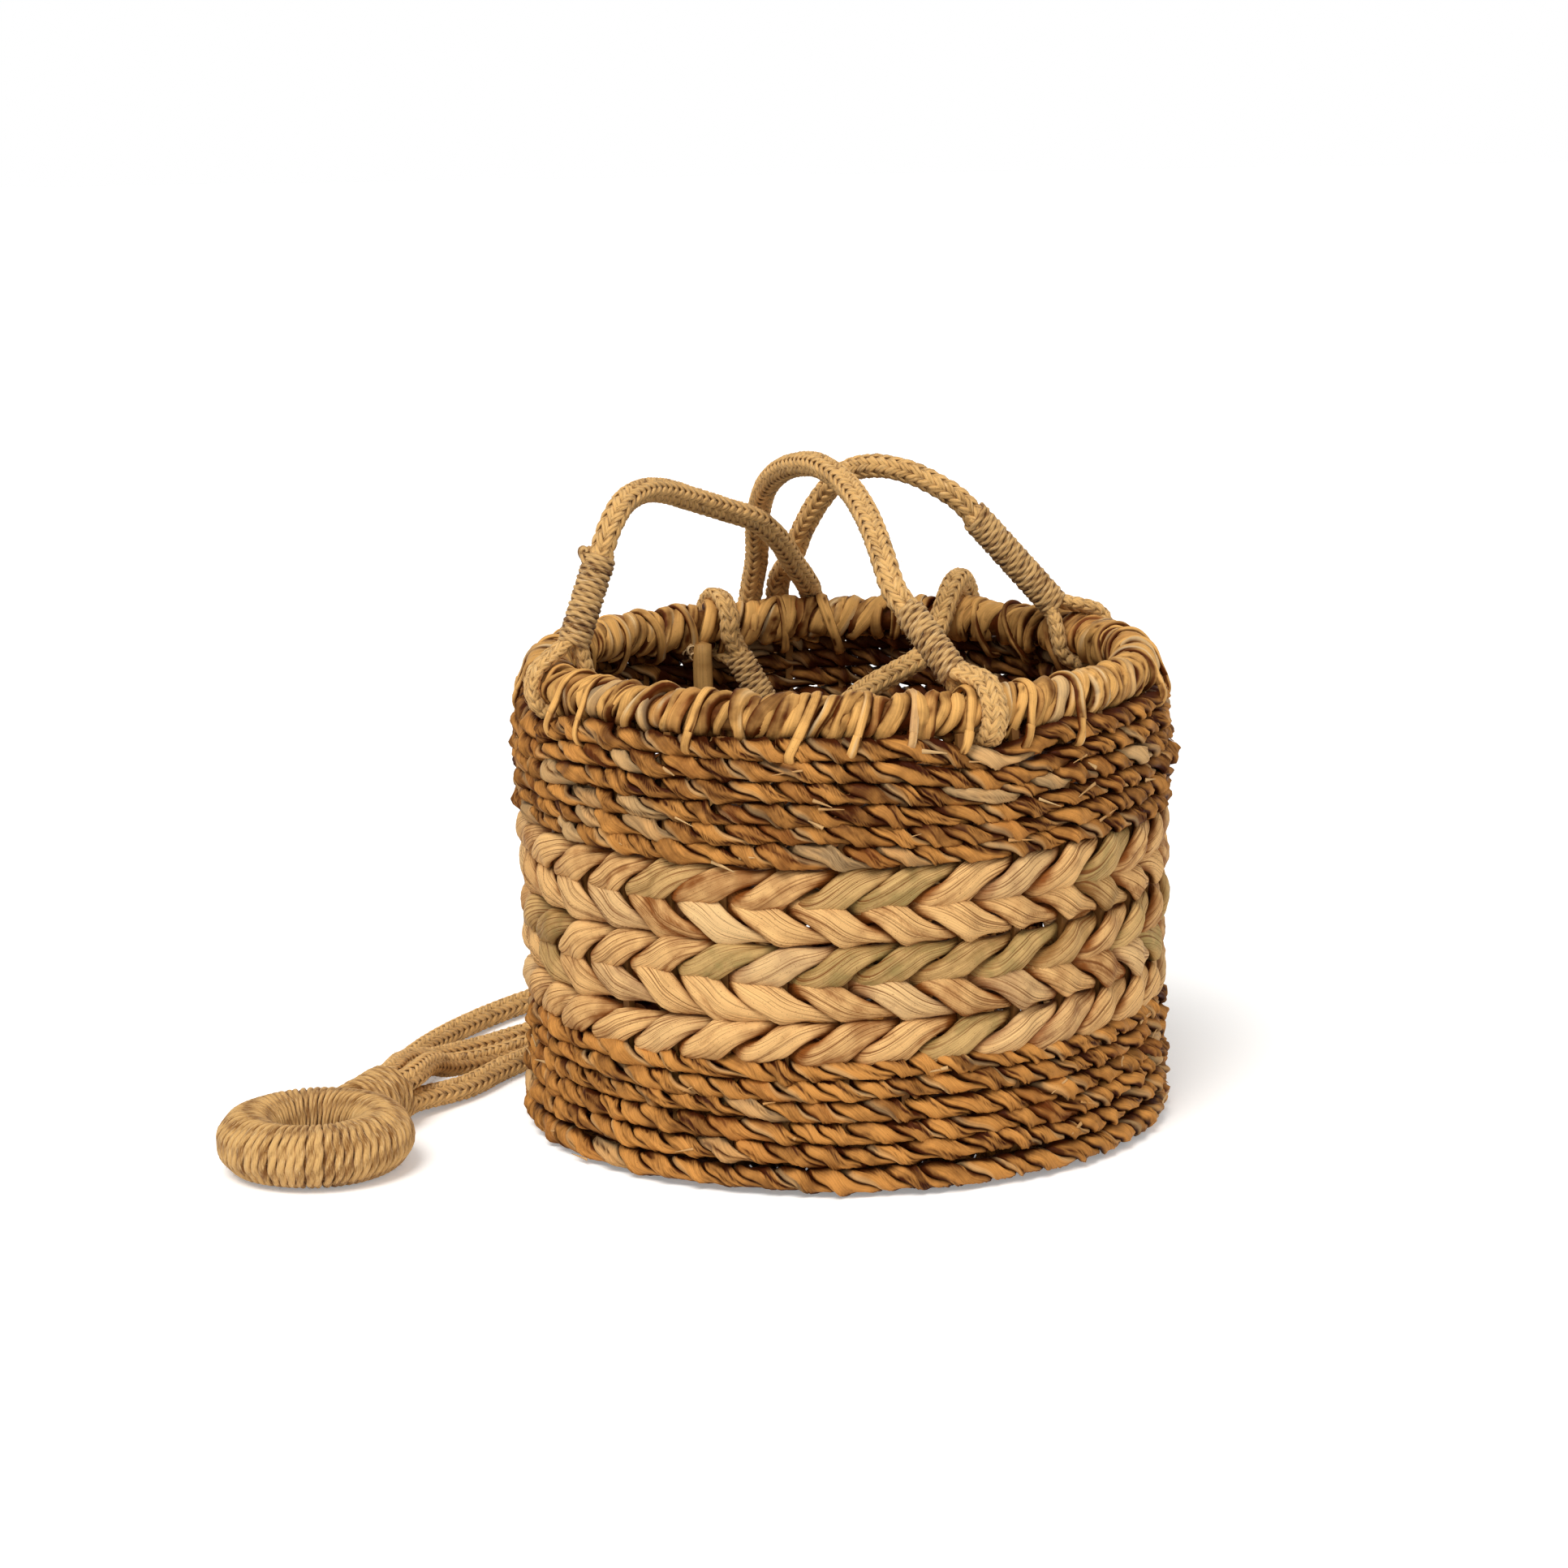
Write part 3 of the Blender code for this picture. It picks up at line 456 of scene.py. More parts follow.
def strand_fibres(name: str) -> bpy.types.NodeTree:
    """Makes a group of lines that run along a strand, from its UV map: Lines and Fine, 0 to 1."""
    group = Group(name, {"Lines Round": 30.0, "Lines Along": 0.5}, ("Lines", "Fine"))
    wire = Wiring(group.tree)
    uv = wire.node("ShaderNodeSeparateXYZ", {0: wire.node("ShaderNodeUVMap", uv_map="strand")[0]})
    # U is laid on a circle, so that the lines close without a seam.
    angle = wire.math("MULTIPLY", uv[0], FULL_TURN)
    radius = wire.math("DIVIDE", group.entry["Lines Round"], FULL_TURN)
    place = wire.node("ShaderNodeCombineXYZ", {
        0: wire.math("MULTIPLY", wire.math("COSINE", angle), radius),
        1: wire.math("MULTIPLY", wire.math("SINE", angle), radius),
        2: wire.math("MULTIPLY", uv[1], group.entry["Lines Along"]),
    })[0]
    finer = wire.node("ShaderNodeMapping", {"Vector": place, "Scale": (2.7, 2.7, 1.6)})[0]
    wire.put(group.exit["Lines"], wire.noise(place, 1.0, 2.0, 0.55))
    wire.put(group.exit["Fine"], wire.noise(finer, 1.0, 2.0))
    return group.tree


def dried_plant_marks(name: str) -> bpy.types.NodeTree:
    """Makes a group of soft blotches and small dark specks in the object's space, 0 to 1."""
    group = Group(name, {"Size": 90.0}, ("Blotch", "Speck"))
    wire = Wiring(group.tree)
    place = wire.node("ShaderNodeTexCoord")["Object"]
    place = wire.node("ShaderNodeVectorMath", {0: place, "Scale": group.entry["Size"]}, operation="SCALE")[0]
    wire.put(group.exit["Blotch"], wire.noise(place, 1.0, 3.0))
    wire.put(group.exit["Speck"], wire.ramp(wire.noise(place, 17.0, 1.0), 0.66, 0.74))
    return group.tree


def open_material(name: str) -> tuple[bpy.types.Material, Wiring, bpy.types.NodeInputs]:
    """A new material, its wiring and its shader's inputs."""
    material = bpy.data.materials.new(name)
    material.use_nodes = True
    return material, Wiring(material.node_tree), material.node_tree.nodes["Principled BSDF"].inputs


@dataclass(frozen=True)
class LeafFinish:
    """Dried plant strand: colours picked by the leaf values, lines along it, specks and gloss."""

    name: str
    slot: Slot
    dark: Colour
    light: Colour
    other: Colour
    pale: Colour
    line_colour: Colour
    lines_round: float
    lines_along: float
    line_strength: float
    speck_strength: float
    roughness: float
    bump: float
    specular: float

    def material(self) -> bpy.types.Material:
        """Builds the material."""
        material, wire, shader = open_material(self.name)
        leaf = wire.leaf_values()
        fibres = wire.shared(strand_fibres, Lines_Round=self.lines_round, Lines_Along=self.lines_along)
        marks = wire.shared(dried_plant_marks, Size=110.0)
        shade = wire.math("ADD", leaf[0], wire.ramp(marks["Blotch"], 0.3, 0.7, -0.18, 0.18))
        colour = wire.mix(wire.ramp(shade, 0.0, 1.0), self.dark, self.light)
        hue = wire.math("MULTIPLY", leaf[1], wire.ramp(marks["Blotch"], 0.25, 0.6, 1.0, 0.55))
        colour = wire.mix(hue, colour, self.other)
        colour = wire.mix(leaf[2], colour, self.pale)
        grooves = wire.ramp(fibres["Lines"], 0.5, 0.3)
        colour = wire.mix(wire.math("MULTIPLY", grooves, self.line_strength), colour, self.line_colour)
        colour = wire.mix(1.0, colour, wire.ramp(fibres["Fine"], 0.3, 0.7, 0.86, 1.1), "MULTIPLY")
        specks = wire.math("MULTIPLY", marks["Speck"], self.speck_strength)
        wire.put(shader["Base Color"], wire.mix(specks, colour, self.line_colour))
        rough = wire.ramp(fibres["Fine"], 0.2, 0.8, self.roughness - 0.1, self.roughness + 0.12)
        wire.put(shader["Roughness"], rough)
        wire.put(shader["Specular IOR Level"], self.specular)
        height = wire.math("ADD", fibres["Lines"], wire.math("MULTIPLY", fibres["Fine"], 0.4))
        wire.put(shader["Normal"], wire.bump(height, self.bump, 0.0004))
        return material


@dataclass(frozen=True)
class JuteFinish:
    """Jute yarn: slanting fibres, blotchy tan to grey-brown, no gloss."""

    name: str
    slot: Slot
    dark: Colour
    light: Colour
    pale: Colour

    def material(self) -> bpy.types.Material:
        """Builds the material."""
        material, wire, shader = open_material(self.name)
        leaf = wire.leaf_values()
        fibres = wire.shared(strand_fibres, Lines_Round=16.0, Lines_Along=3.0)
        marks = wire.shared(dried_plant_marks, Size=150.0)
        shade = wire.math("ADD", leaf[0], wire.ramp(fibres["Fine"], 0.25, 0.75, -0.3, 0.3))
        colour = wire.mix(wire.ramp(shade, 0.0, 1.0), self.dark, self.light)
        pale = wire.math("MULTIPLY", wire.ramp(fibres["Lines"], 0.58, 0.72), 0.55)
        colour = wire.mix(wire.math("MAXIMUM", pale, leaf[2]), colour, self.pale)
        colour = wire.mix(wire.math("MULTIPLY", marks["Speck"], 0.35), colour, self.dark)
        wire.put(shader["Base Color"], colour)
        wire.put(shader["Roughness"], wire.ramp(fibres["Fine"], 0.2, 0.8, 0.78, 1.0))
        wire.put(shader["Specular IOR Level"], 0.1)
        wire.put(shader["Sheen Weight"], 0.08)
        wire.put(shader["Sheen Roughness"], 0.6)
        wire.put(shader["Normal"], wire.bump(wire.math("ADD", fibres["Lines"], fibres["Fine"]), 0.8, 0.0003))
        return material


Finish = LeafFinish | JuteFinish
SEAGRASS = LeafFinish(
    name="seagrass_leaf", slot=Slot.SEAGRASS, dark=(0.038, 0.006, 0.0004), light=(0.60, 0.268, 0.064),
    other=(0.26, 0.070, 0.012), pale=(0.68, 0.46, 0.22), line_colour=(0.045, 0.010, 0.001),
    lines_round=13.0, lines_along=0.25, line_strength=0.30, speck_strength=0.30, roughness=0.60,
    bump=0.5, specular=0.08,
)
RIM_LEAF = replace(
    SEAGRASS, name="rim_leaf", dark=(0.08, 0.016, 0.001), light=(0.78, 0.42, 0.125),
    other=(0.34, 0.100, 0.022), pale=(0.78, 0.58, 0.32), line_colour=(0.07, 0.018, 0.002), lines_round=9.0,
)
HYACINTH = LeafFinish(
    name="hyacinth_stem", slot=Slot.HYACINTH, dark=(0.23, 0.068, 0.011), light=(0.80, 0.475, 0.188),
    other=(0.34, 0.255, 0.088), pale=(0.78, 0.58, 0.31), line_colour=(0.16, 0.046, 0.008),
    lines_round=44.0, lines_along=0.25, line_strength=0.85, speck_strength=0.6, roughness=0.65,
    bump=1.0, specular=0.10,
)
CANE = LeafFinish(
    name="bare_cane", slot=Slot.CANE, dark=(0.22, 0.095, 0.022), light=(0.46, 0.25, 0.075),
    other=(0.35, 0.2, 0.08), pale=(0.70, 0.50, 0.27), line_colour=(0.16, 0.07, 0.02),
    lines_round=16.0, lines_along=0.2, line_strength=0.4, speck_strength=0.5, roughness=0.6,
    bump=0.6, specular=0.2,
)
ROPE = JuteFinish(
    name="braided_jute", slot=Slot.ROPE, dark=(0.13, 0.044, 0.007), light=(0.80, 0.47, 0.165),
    pale=(0.90, 0.68, 0.38),
)
WRAP = JuteFinish(
    name="wrapped_jute", slot=Slot.WRAP, dark=(0.20, 0.080, 0.017), light=(0.66, 0.395, 0.145),
    pale=(0.82, 0.58, 0.29),
)
TWINE = JuteFinish(
    name="jute_twine", slot=Slot.TWINE, dark=(0.13, 0.044, 0.008), light=(0.64, 0.39, 0.150),
    pale=(0.86, 0.66, 0.40),
)


def coat(thing: bpy.types.Object, finish: Finish) -> None:
    """Puts a finish on a piece. Pieces with the same finish share its material."""
    thing.data.materials.clear()
    thing.data.materials.append(bpy.data.materials.get(finish.name) or finish.material())


def dress(thing: bpy.types.Object, finish: Finish, body: str | None, nodes: tuple = ()) -> bpy.types.Object:
    """Coats a piece and ties it to the frame.

    Args:
        thing: the piece.
        finish: its finish.
        body: the body that it rides on, or None to leave it untied.
        nodes: the CAD nodes that it replaces.

    Returns:
        The piece.
    """
    coat(thing, finish)
    if body:
        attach(thing, body)
    if nodes:
        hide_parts(*nodes)
    LOG.info("%s: %d faces", thing.name, len(thing.data.polygons))
    return thing


def folded(
    places: Array, lobe: Array, along: Array, rng: Random, facets: float, creases: int, depth: float,
    drift: float = 0.0,
) -> tuple[Array, Array, Array]:
    """Relief of a folded leaf on a strand's outside: flat facets, and thin creases that drift.

    Args:
        places: angles across the strand, (M,).
        lobe: each centre's lobe number, (N,).
        along: each centre's place on its lobe, -1 to 1, (N,).
        rng: the source of the random places.
        facets: how many flats a full circle would have.
        creases: how many creases a lobe has.
        depth: how deep a crease is, as a share of the radius.
        drift: how far folds turn across the strand over half a lobe, in radians.

    Returns:
        The radius factor, the crease mask and the flat's own tone, each (N, M).
    """
    spread, tones, crease_width = 0.5, 8, 0.12
    lobes = int(lobe.max()) + 1
    width = FULL_TURN / facets
    start = rng.uniform(0.0, width, lobes)[lobe] + rng.normal(drift, spread, lobes)[lobe] * along
    turned = np.mod(places[None] - start[:, None], width) - width / 2.0
    flat = math.cos(width / 2.0) / np.cos(turned)
    number = np.floor((places[None] - start[:, None]) / width).astype(int) % tones
    tone = rng.standard_normal((lobes, tones))[lobe[:, None], number]
    mask = np.zeros((len(lobe), len(places)))
    for _ in range(creases):
        middle = rng.uniform(-0.9, 0.9, lobes)[lobe] * places.max()
        middle = middle + rng.normal(drift, spread, lobes)[lobe] * along
        strength = rng.uniform(0.3, 1.0, lobes)[lobe]
        mask += strength[:, None] * np.exp(-(((places[None] - middle[:, None]) / crease_width) ** 2))
    mask = np.clip(mask, 0.0, 1.0)
    return flat * (1.0 - depth * mask), mask, tone


@dataclass(frozen=True)
class HalfStrand:
    """The outline of a strand that fills one side of a twisted row, and the other side's flat."""

    cover: float
    arc_points: int
    flat_points: int
    # How much darker the hidden flat side is: painted shade.
    flat_painted_shade: float = 0.3

    def places(self) -> Array:
        """Angles of the arc's points from the strand's middle."""
        return np.linspace(-self.cover, self.cover, self.arc_points)

    def ordered(self, whole: Array, lean: Lean) -> Array:
        """Values round the outline, in the order that turns its faces outward."""
        return whole[:, ::-1] if lean is Lean.RISING else whole

    def section(
        self, twist: Array, thick: Array, high: Array, relief: Array, shift: Array, lean: Lean
    ) -> Array:
        """The outline at each centre.

        Args:
            twist: how far the strand has turned round the row, (N,).
            thick: the row's half thickness, (N,).
            high: the row's half height, (N,).
            relief: the radius factor, (N, arc_points).
            shift: how far the strand is pushed out by a stake, (N,).
            lean: which way the row twists.

        Returns:
            Outward and downward places, (N, M, 2).
        """
        angle = twist[:, None] + self.places()[None]
        arc = np.stack([thick[:, None] * np.cos(angle), high[:, None] * np.sin(angle)], -1)
        arc = arc * relief[..., None]
        share = ((np.arange(self.flat_points) + 1.0) / (self.flat_points + 1.0))[None, :, None]
        flat = arc[:, -1:] * (1.0 - share) + arc[:, :1] * share
        whole = np.concatenate([arc, flat], axis=1)
        whole[..., 0] += shift[:, None]
        whole[..., 1] *= -lean.value
        return self.ordered(whole, lean)

    def leaf(self, values: Array, lean: Lean) -> Array:
        """Leaf values of the arc, carried over the flat side with painted shade, in the outline's order."""
        flat = np.repeat(values.mean(axis=1, keepdims=True), self.flat_points, axis=1)
        flat[..., 0] -= self.flat_painted_shade
        return self.ordered(np.concatenate([values, flat], axis=1), lean)


@dataclass
class WallRow:
    """Where one woven row runs: mid radius and height at each angle, with the dips at the eyes."""

    radius: float
    height: float
    wave: float
    seed: int
    dip: float = 0.0
    reach: float = 2.4

    def middle(self, angle: Array) -> tuple[Array, Array]:
        """Radius and height of the row's middle line. The dips fade over its reach, in stakes."""
        rng = source(self.seed)
        shares = [np.clip(apart / self.reach, 0.0, 1.0) for apart in stakes_away(angle)]
        nearness = sum(np.cos(share * math.pi / 2.0) ** 2 for share in shares)
        height = self.height - self.dip * nearness + self.wave * wobble(angle, rng, 2, 9)
        return self.radius + 0.6 * self.wave * wobble(angle, rng, 3, 11), height


@dataclass(frozen=True)
class StrandForm:
    """How the strands of one kind of row are shaped. Lengths along a strand count half lobes as 1."""

    shape: HalfStrand
    facets: float
    crease_depth: float
    # How far the folds turn over half a lobe, in radians.
    drift: float
    # How much lobes differ in size, and how much fuller the leading end is than the trailing one.
    spread: float
    overlap: float
    # How far the strand thins toward its edges, and how near them that begins.
    edge_cut: float
    edge_power: float
    fullness: float
    thickness_wave: float
    height_share: float
    height_wave: float
    waves: int
    # Over what share of a gap a stake opens the strands, and how squarely.
    stake_share: float
    opening_power: float
    # How much more slowly than the strand the lines on it turn.
    lag: float = 0.0


@dataclass
class TwinedRow:
    """Two strands twined round the stakes. Each kind of row adds its own twist, relief and leaf."""

    row: WallRow
    lean: Lean
    seed: int
    half_height: float
    half_thickness: float
    opening: float
    form: ClassVar[StrandForm]

    def carve(self, relief: Array, crease: Array, lobe: Array, along: Array, rng: Random) -> Array:
        """The relief with what this kind of row adds to it."""
        return relief

    def leaves(
        self, lobe: Array, along: Array, crease: Array, tone: Array, turned: Array, rng: Random
    ) -> Array:
        """Leaf values lobe by lobe.

        Args:
            lobe: each centre's lobe number.
            along: each centre's place on its lobe, -1 to 1.
            crease: the crease mask.
            tone: each flat's own tone.
            turned: how far each point has turned from the row's outside.
            rng: the row's random source.

        Returns:
            Brightness, hue and paleness, (N, arc_points, 3).
        """
        raise NotImplementedError

    def strand(self, mesh: StrandMesh, number: Array, twist: Array, lobes: int, shift: float) -> None:
        """Adds one of the two strands.

        Args:
            mesh: where the strand goes.
            number: each centre's place round the wall, in stakes.
            twist: how far the strand has turned round the row there.
            lobes: how many times the strand comes to the outside.
            shift: added to V.
        """
        form, rng = self.form, mesh.rng
        angle = stake_angle(number)
        lobe, along = lobes_of(twist, lobes)
        places = form.shape.places()
        relief, crease, tone = folded(
            places, lobe, along, rng, form.facets, creases=2, depth=form.crease_depth, drift=form.drift
        )
        relief = self.carve(relief, crease, lobe, along, rng)
        # Each strand's leading end lies over the other strand's trailing end.
        swell = 1.0 - along**2
        plump = 1.0 + (form.spread * rng.standard_normal(lobes))[lobe] * swell
        plump = plump * (1.0 - form.overlap * along * swell)
        thinned = 1.0 - form.edge_cut * (np.abs(places) / form.shape.cover)[None] ** form.edge_power
        relief = relief * plump[:, None] * thinned * form.fullness
        thick = 1.0 + form.thickness_wave * wobble(angle, rng, 20, form.waves)
        high = form.height_share + form.height_wave * wobble(angle, rng, 20, form.waves)
        near_stake = np.exp(-((wrapped(FULL_TURN * number) / FULL_TURN / form.stake_share) ** 2))
        outside = np.cos(twist)
        opened = self.opening * near_stake * np.sign(outside) * np.abs(outside) ** form.opening_power
        section = form.shape.section(
            twist, self.half_thickness * thick, self.half_height * high, relief, opened, self.lean
        )
        leaf = self.leaves(lobe, along, crease, tone, twist[:, None] + places[None], rng)
        leaf = form.shape.leaf(leaf, self.lean)
        u_per_radian = (len(places) - 1) / section.shape[1] / (2.0 * form.shape.cover)
        spin = -self.lean.value * form.lag * u_per_radian * math.pi * along
        line = polar(angle, *self.row.middle(angle))
        mesh.sweep(line, polar(angle, 1.0, 0.0), section, leaf, closed=True, shift=shift, spin=spin)


@dataclass
class SeagrassRow(TwinedRow):
    """Two leaf strands twisted together as a laid rope, which opens where a stake goes through."""

    half_height: float = 0.0043
    half_thickness: float = 0.0050
    opening: float = 0.0020
    twists: int = 28
    samples: int = 646
    slivers: int = 5
    # Mean brightness of the lobes. Upper rows are set darker as painted shade under the rim, lower rows
    # lighter as painted light from the floor.
    tone: float = 0.70
    form = StrandForm(
        shape=HalfStrand(math.radians(88.0), 14, 3), facets=5.0, crease_depth=0.22, drift=-1.3, spread=0.10,
        overlap=0.40, edge_cut=0.30, edge_power=10, fullness=1.08, thickness_wave=0.07, height_share=1.04,
        height_wave=0.05, waves=60, stake_share=0.17, opening_power=0.5,
    )

    def build(self, name: str) -> bpy.types.Object:
        """The row as one object, with loose slivers."""
        mesh = StrandMesh(source(7 * self.seed))
        start = mesh.rng.uniform(0.0, FULL_TURN)
        slip = 0.60 * wobble(circle(self.samples), mesh.rng, 5, 21)
        number = np.arange(self.samples) / self.samples * STAKES
        for strand in range(2):
            twist = self.twists * FULL_TURN * number / STAKES + (start + slip + math.pi * strand)
            # The strands turn slowly where they cross the row's outside, so lobes end in long points.
            twist = twist + 0.29 * np.sin(2.0 * twist)
            self.strand(mesh, number, twist, self.twists, 40.0 * strand)
        for _ in range(self.slivers):
            self.sliver(mesh)
        return mesh.build(name)

    def sliver(self, mesh: StrandMesh) -> None:
        """Adds a short pale strip that has come loose from a leaf's edge."""
        rng = mesh.rng
        start = np.array([rng.uniform(0.0, FULL_TURN)])
        radius, height = self.row.middle(start)
        share = np.linspace(0.0, 1.0, 7)
        away = rng.choice([-1.0, 1.0]) * rng.uniform(0.004, 0.011) * share
        lift = rng.uniform(0.0006, 0.0024) * share**2
        rise = rng.uniform(-0.9, 0.9) * self.half_height + rng.uniform(-0.004, 0.004) * share
        angle = start + away / radius
        line = polar(angle, radius + self.half_thickness * 0.93 + lift, height + rise)
        half = np.stack([np.full(7, 0.00025), rng.uniform(0.0004, 0.0011) * (1.0 - 0.8 * share)], axis=-1)
        pale = (0.7, 0.0, rng.uniform(0.2, 0.8))
        mesh.sweep(line, polar(angle, 1.0, 0.0), outline(6)[None] * half[:, None], pale)

    def leaves(
        self, lobe: Array, along: Array, crease: Array, tone: Array, turned: Array, rng: Random
    ) -> Array:
        """Painted shade in creases, at lobe ends and edges, between rows and inside; painted highlight lines
        on edges.
        """
        count = self.twists
        bright = np.clip(rng.normal(self.tone, 0.08, count), 0.25, 1.0)
        red = np.where(rng.random(count) < 0.12, rng.uniform(0.2, 0.45, count), rng.uniform(0.0, 0.10, count))
        frayed = np.where(rng.random(count) < 0.05, rng.uniform(0.3, 0.6, count), 0.0)
        edged = np.where(rng.random(count) < 0.45, rng.uniform(0.4, 0.95, count), 0.0)
        side = np.where(rng.random(count) < 0.5, 1.0, -1.0)
        across = self.form.shape.places() / self.form.shape.cover
        # Pale lines along one edge of some lobes: painted highlights.
        edge_highlight = np.exp(-(((across[None] * side[lobe][:, None] - 0.78) / 0.08) ** 2))
        # sink marks where lobe ends tuck under. The brightness below gets painted shade in creases, at those
        # ends, at the edges, between rows and on the inside.
        sink = np.clip(np.abs(along) - 0.6, 0.0, 1.0)
        leaf = np.zeros((*crease.shape, 3))
        leaf[..., 0] = bright[lobe][:, None] + 0.10 * tone - 0.8 * crease - 0.5 * sink[:, None]
        leaf[..., 0] -= 0.8 * np.abs(across[None]) ** 14 + 0.8 * np.abs(np.sin(turned)) ** 9
        leaf[..., 0] -= 0.35 * (np.cos(turned) < -0.1)
        leaf[..., 1] = red[lobe][:, None]
        leaf[..., 2] = np.maximum(frayed[lobe][:, None] * (1.0 - crease), edged[lobe][:, None] * edge_highlight)
        return leaf


@dataclass
class HyacinthRow(TwinedRow):
    """Two plump stem strands that change places in each gap, so each stake shows one lobe."""

    half_height: float = 0.0090
    half_thickness: float = 0.0060
    opening: float = 0.0012
    samples_per_lobe: int = 19
    form = StrandForm(
        shape=HalfStrand(math.radians(84.0), 20, 4), facets=4.0, crease_depth=0.12, drift=-1.5, spread=0.06,
        overlap=0.52, edge_cut=0.26, edge_power=7, fullness=1.0, thickness_wave=0.04, height_share=1.0,
        height_wave=0.03, waves=50, stake_share=0.2, opening_power=1.0, lag=0.5,
    )

    def build(self, name: str) -> bpy.types.Object:
        """The row as one object."""
        mesh = StrandMesh(source(31 * self.seed))
        number = np.arange(STAKES * self.samples_per_lobe) / self.samples_per_lobe
        for strand in range(2):
            twist = math.pi * (number + strand) + 0.12 * np.sin(FULL_TURN * number)
            twist = twist + 0.14 * wobble(stake_angle(number), mesh.rng, 4, 17)
            self.strand(mesh, number, twist, STAKES // 2, 55.0 * strand)
        return mesh.build(name)

    def carve(self, relief: Array, crease: Array, lobe: Array, along: Array, rng: Random) -> Array:
        """Softer facets, and fine ribs along each lobe, at a lower slant than the strand itself."""
        ribs = np.zeros_like(relief)
        for waves in (9, 14, 21):
            phase = rng.uniform(0.0, FULL_TURN, STAKES // 2)[lobe] + waves * self.form.lag * math.pi * along
            ribs += np.sin(waves * self.form.shape.places()[None] + phase[:, None]) / 3.0
        return (0.25 * relief + 0.75 * (1.0 - 0.07 * crease)) * (1.0 + 0.026 * ribs)

    def leaves(
        self, lobe: Array, along: Array, crease: Array, tone: Array, turned: Array, rng: Random
    ) -> Array:
        """Pale tan with some olive; red-brown painted shade at lobe ends and edges, between rows and inside.
        Every fifth row has more olive.
        """
        count = STAKES // 2
        olive_share = 0.10 if self.seed % 5 != 2 else 0.40
        bright = np.clip(rng.normal(0.80, 0.15, count), 0.3, 1.0)
        olive = np.where(rng.random(count) < olive_share, rng.uniform(0.45, 0.9, count), 0.0)
        pale = np.where(rng.random(count) < 0.22, rng.uniform(0.1, 0.4, count), 0.0)
        across = self.form.shape.places() / self.form.shape.cover
        streaks = rng.normal(0.0, 0.09, (count, len(across)))[lobe]
        # sink marks where lobe ends tuck under. The brightness below gets painted shade in creases, at those
        # ends, at the edges, between rows and on the inside.
        sink = np.clip(np.abs(along) - 0.45, 0.0, 1.0)
        leaf = np.zeros((*crease.shape, 3))
        leaf[..., 0] = bright[lobe][:, None] + 0.3 * streaks + 0.05 * tone
        leaf[..., 0] -= 0.4 * crease + 0.4 * sink[:, None]
        leaf[..., 0] -= 0.45 * np.abs(across[None]) ** 9 + 0.6 * np.abs(np.sin(turned)) ** 10
        leaf[..., 0] -= 0.45 * (np.cos(turned) < -0.1)
        leaf[..., 1] = olive[lobe][:, None]
        leaf[..., 2] = pale[lobe][:, None] * np.clip(1.0 - 2.0 * sink, 0.0, 1.0)[:, None]
        return leaf


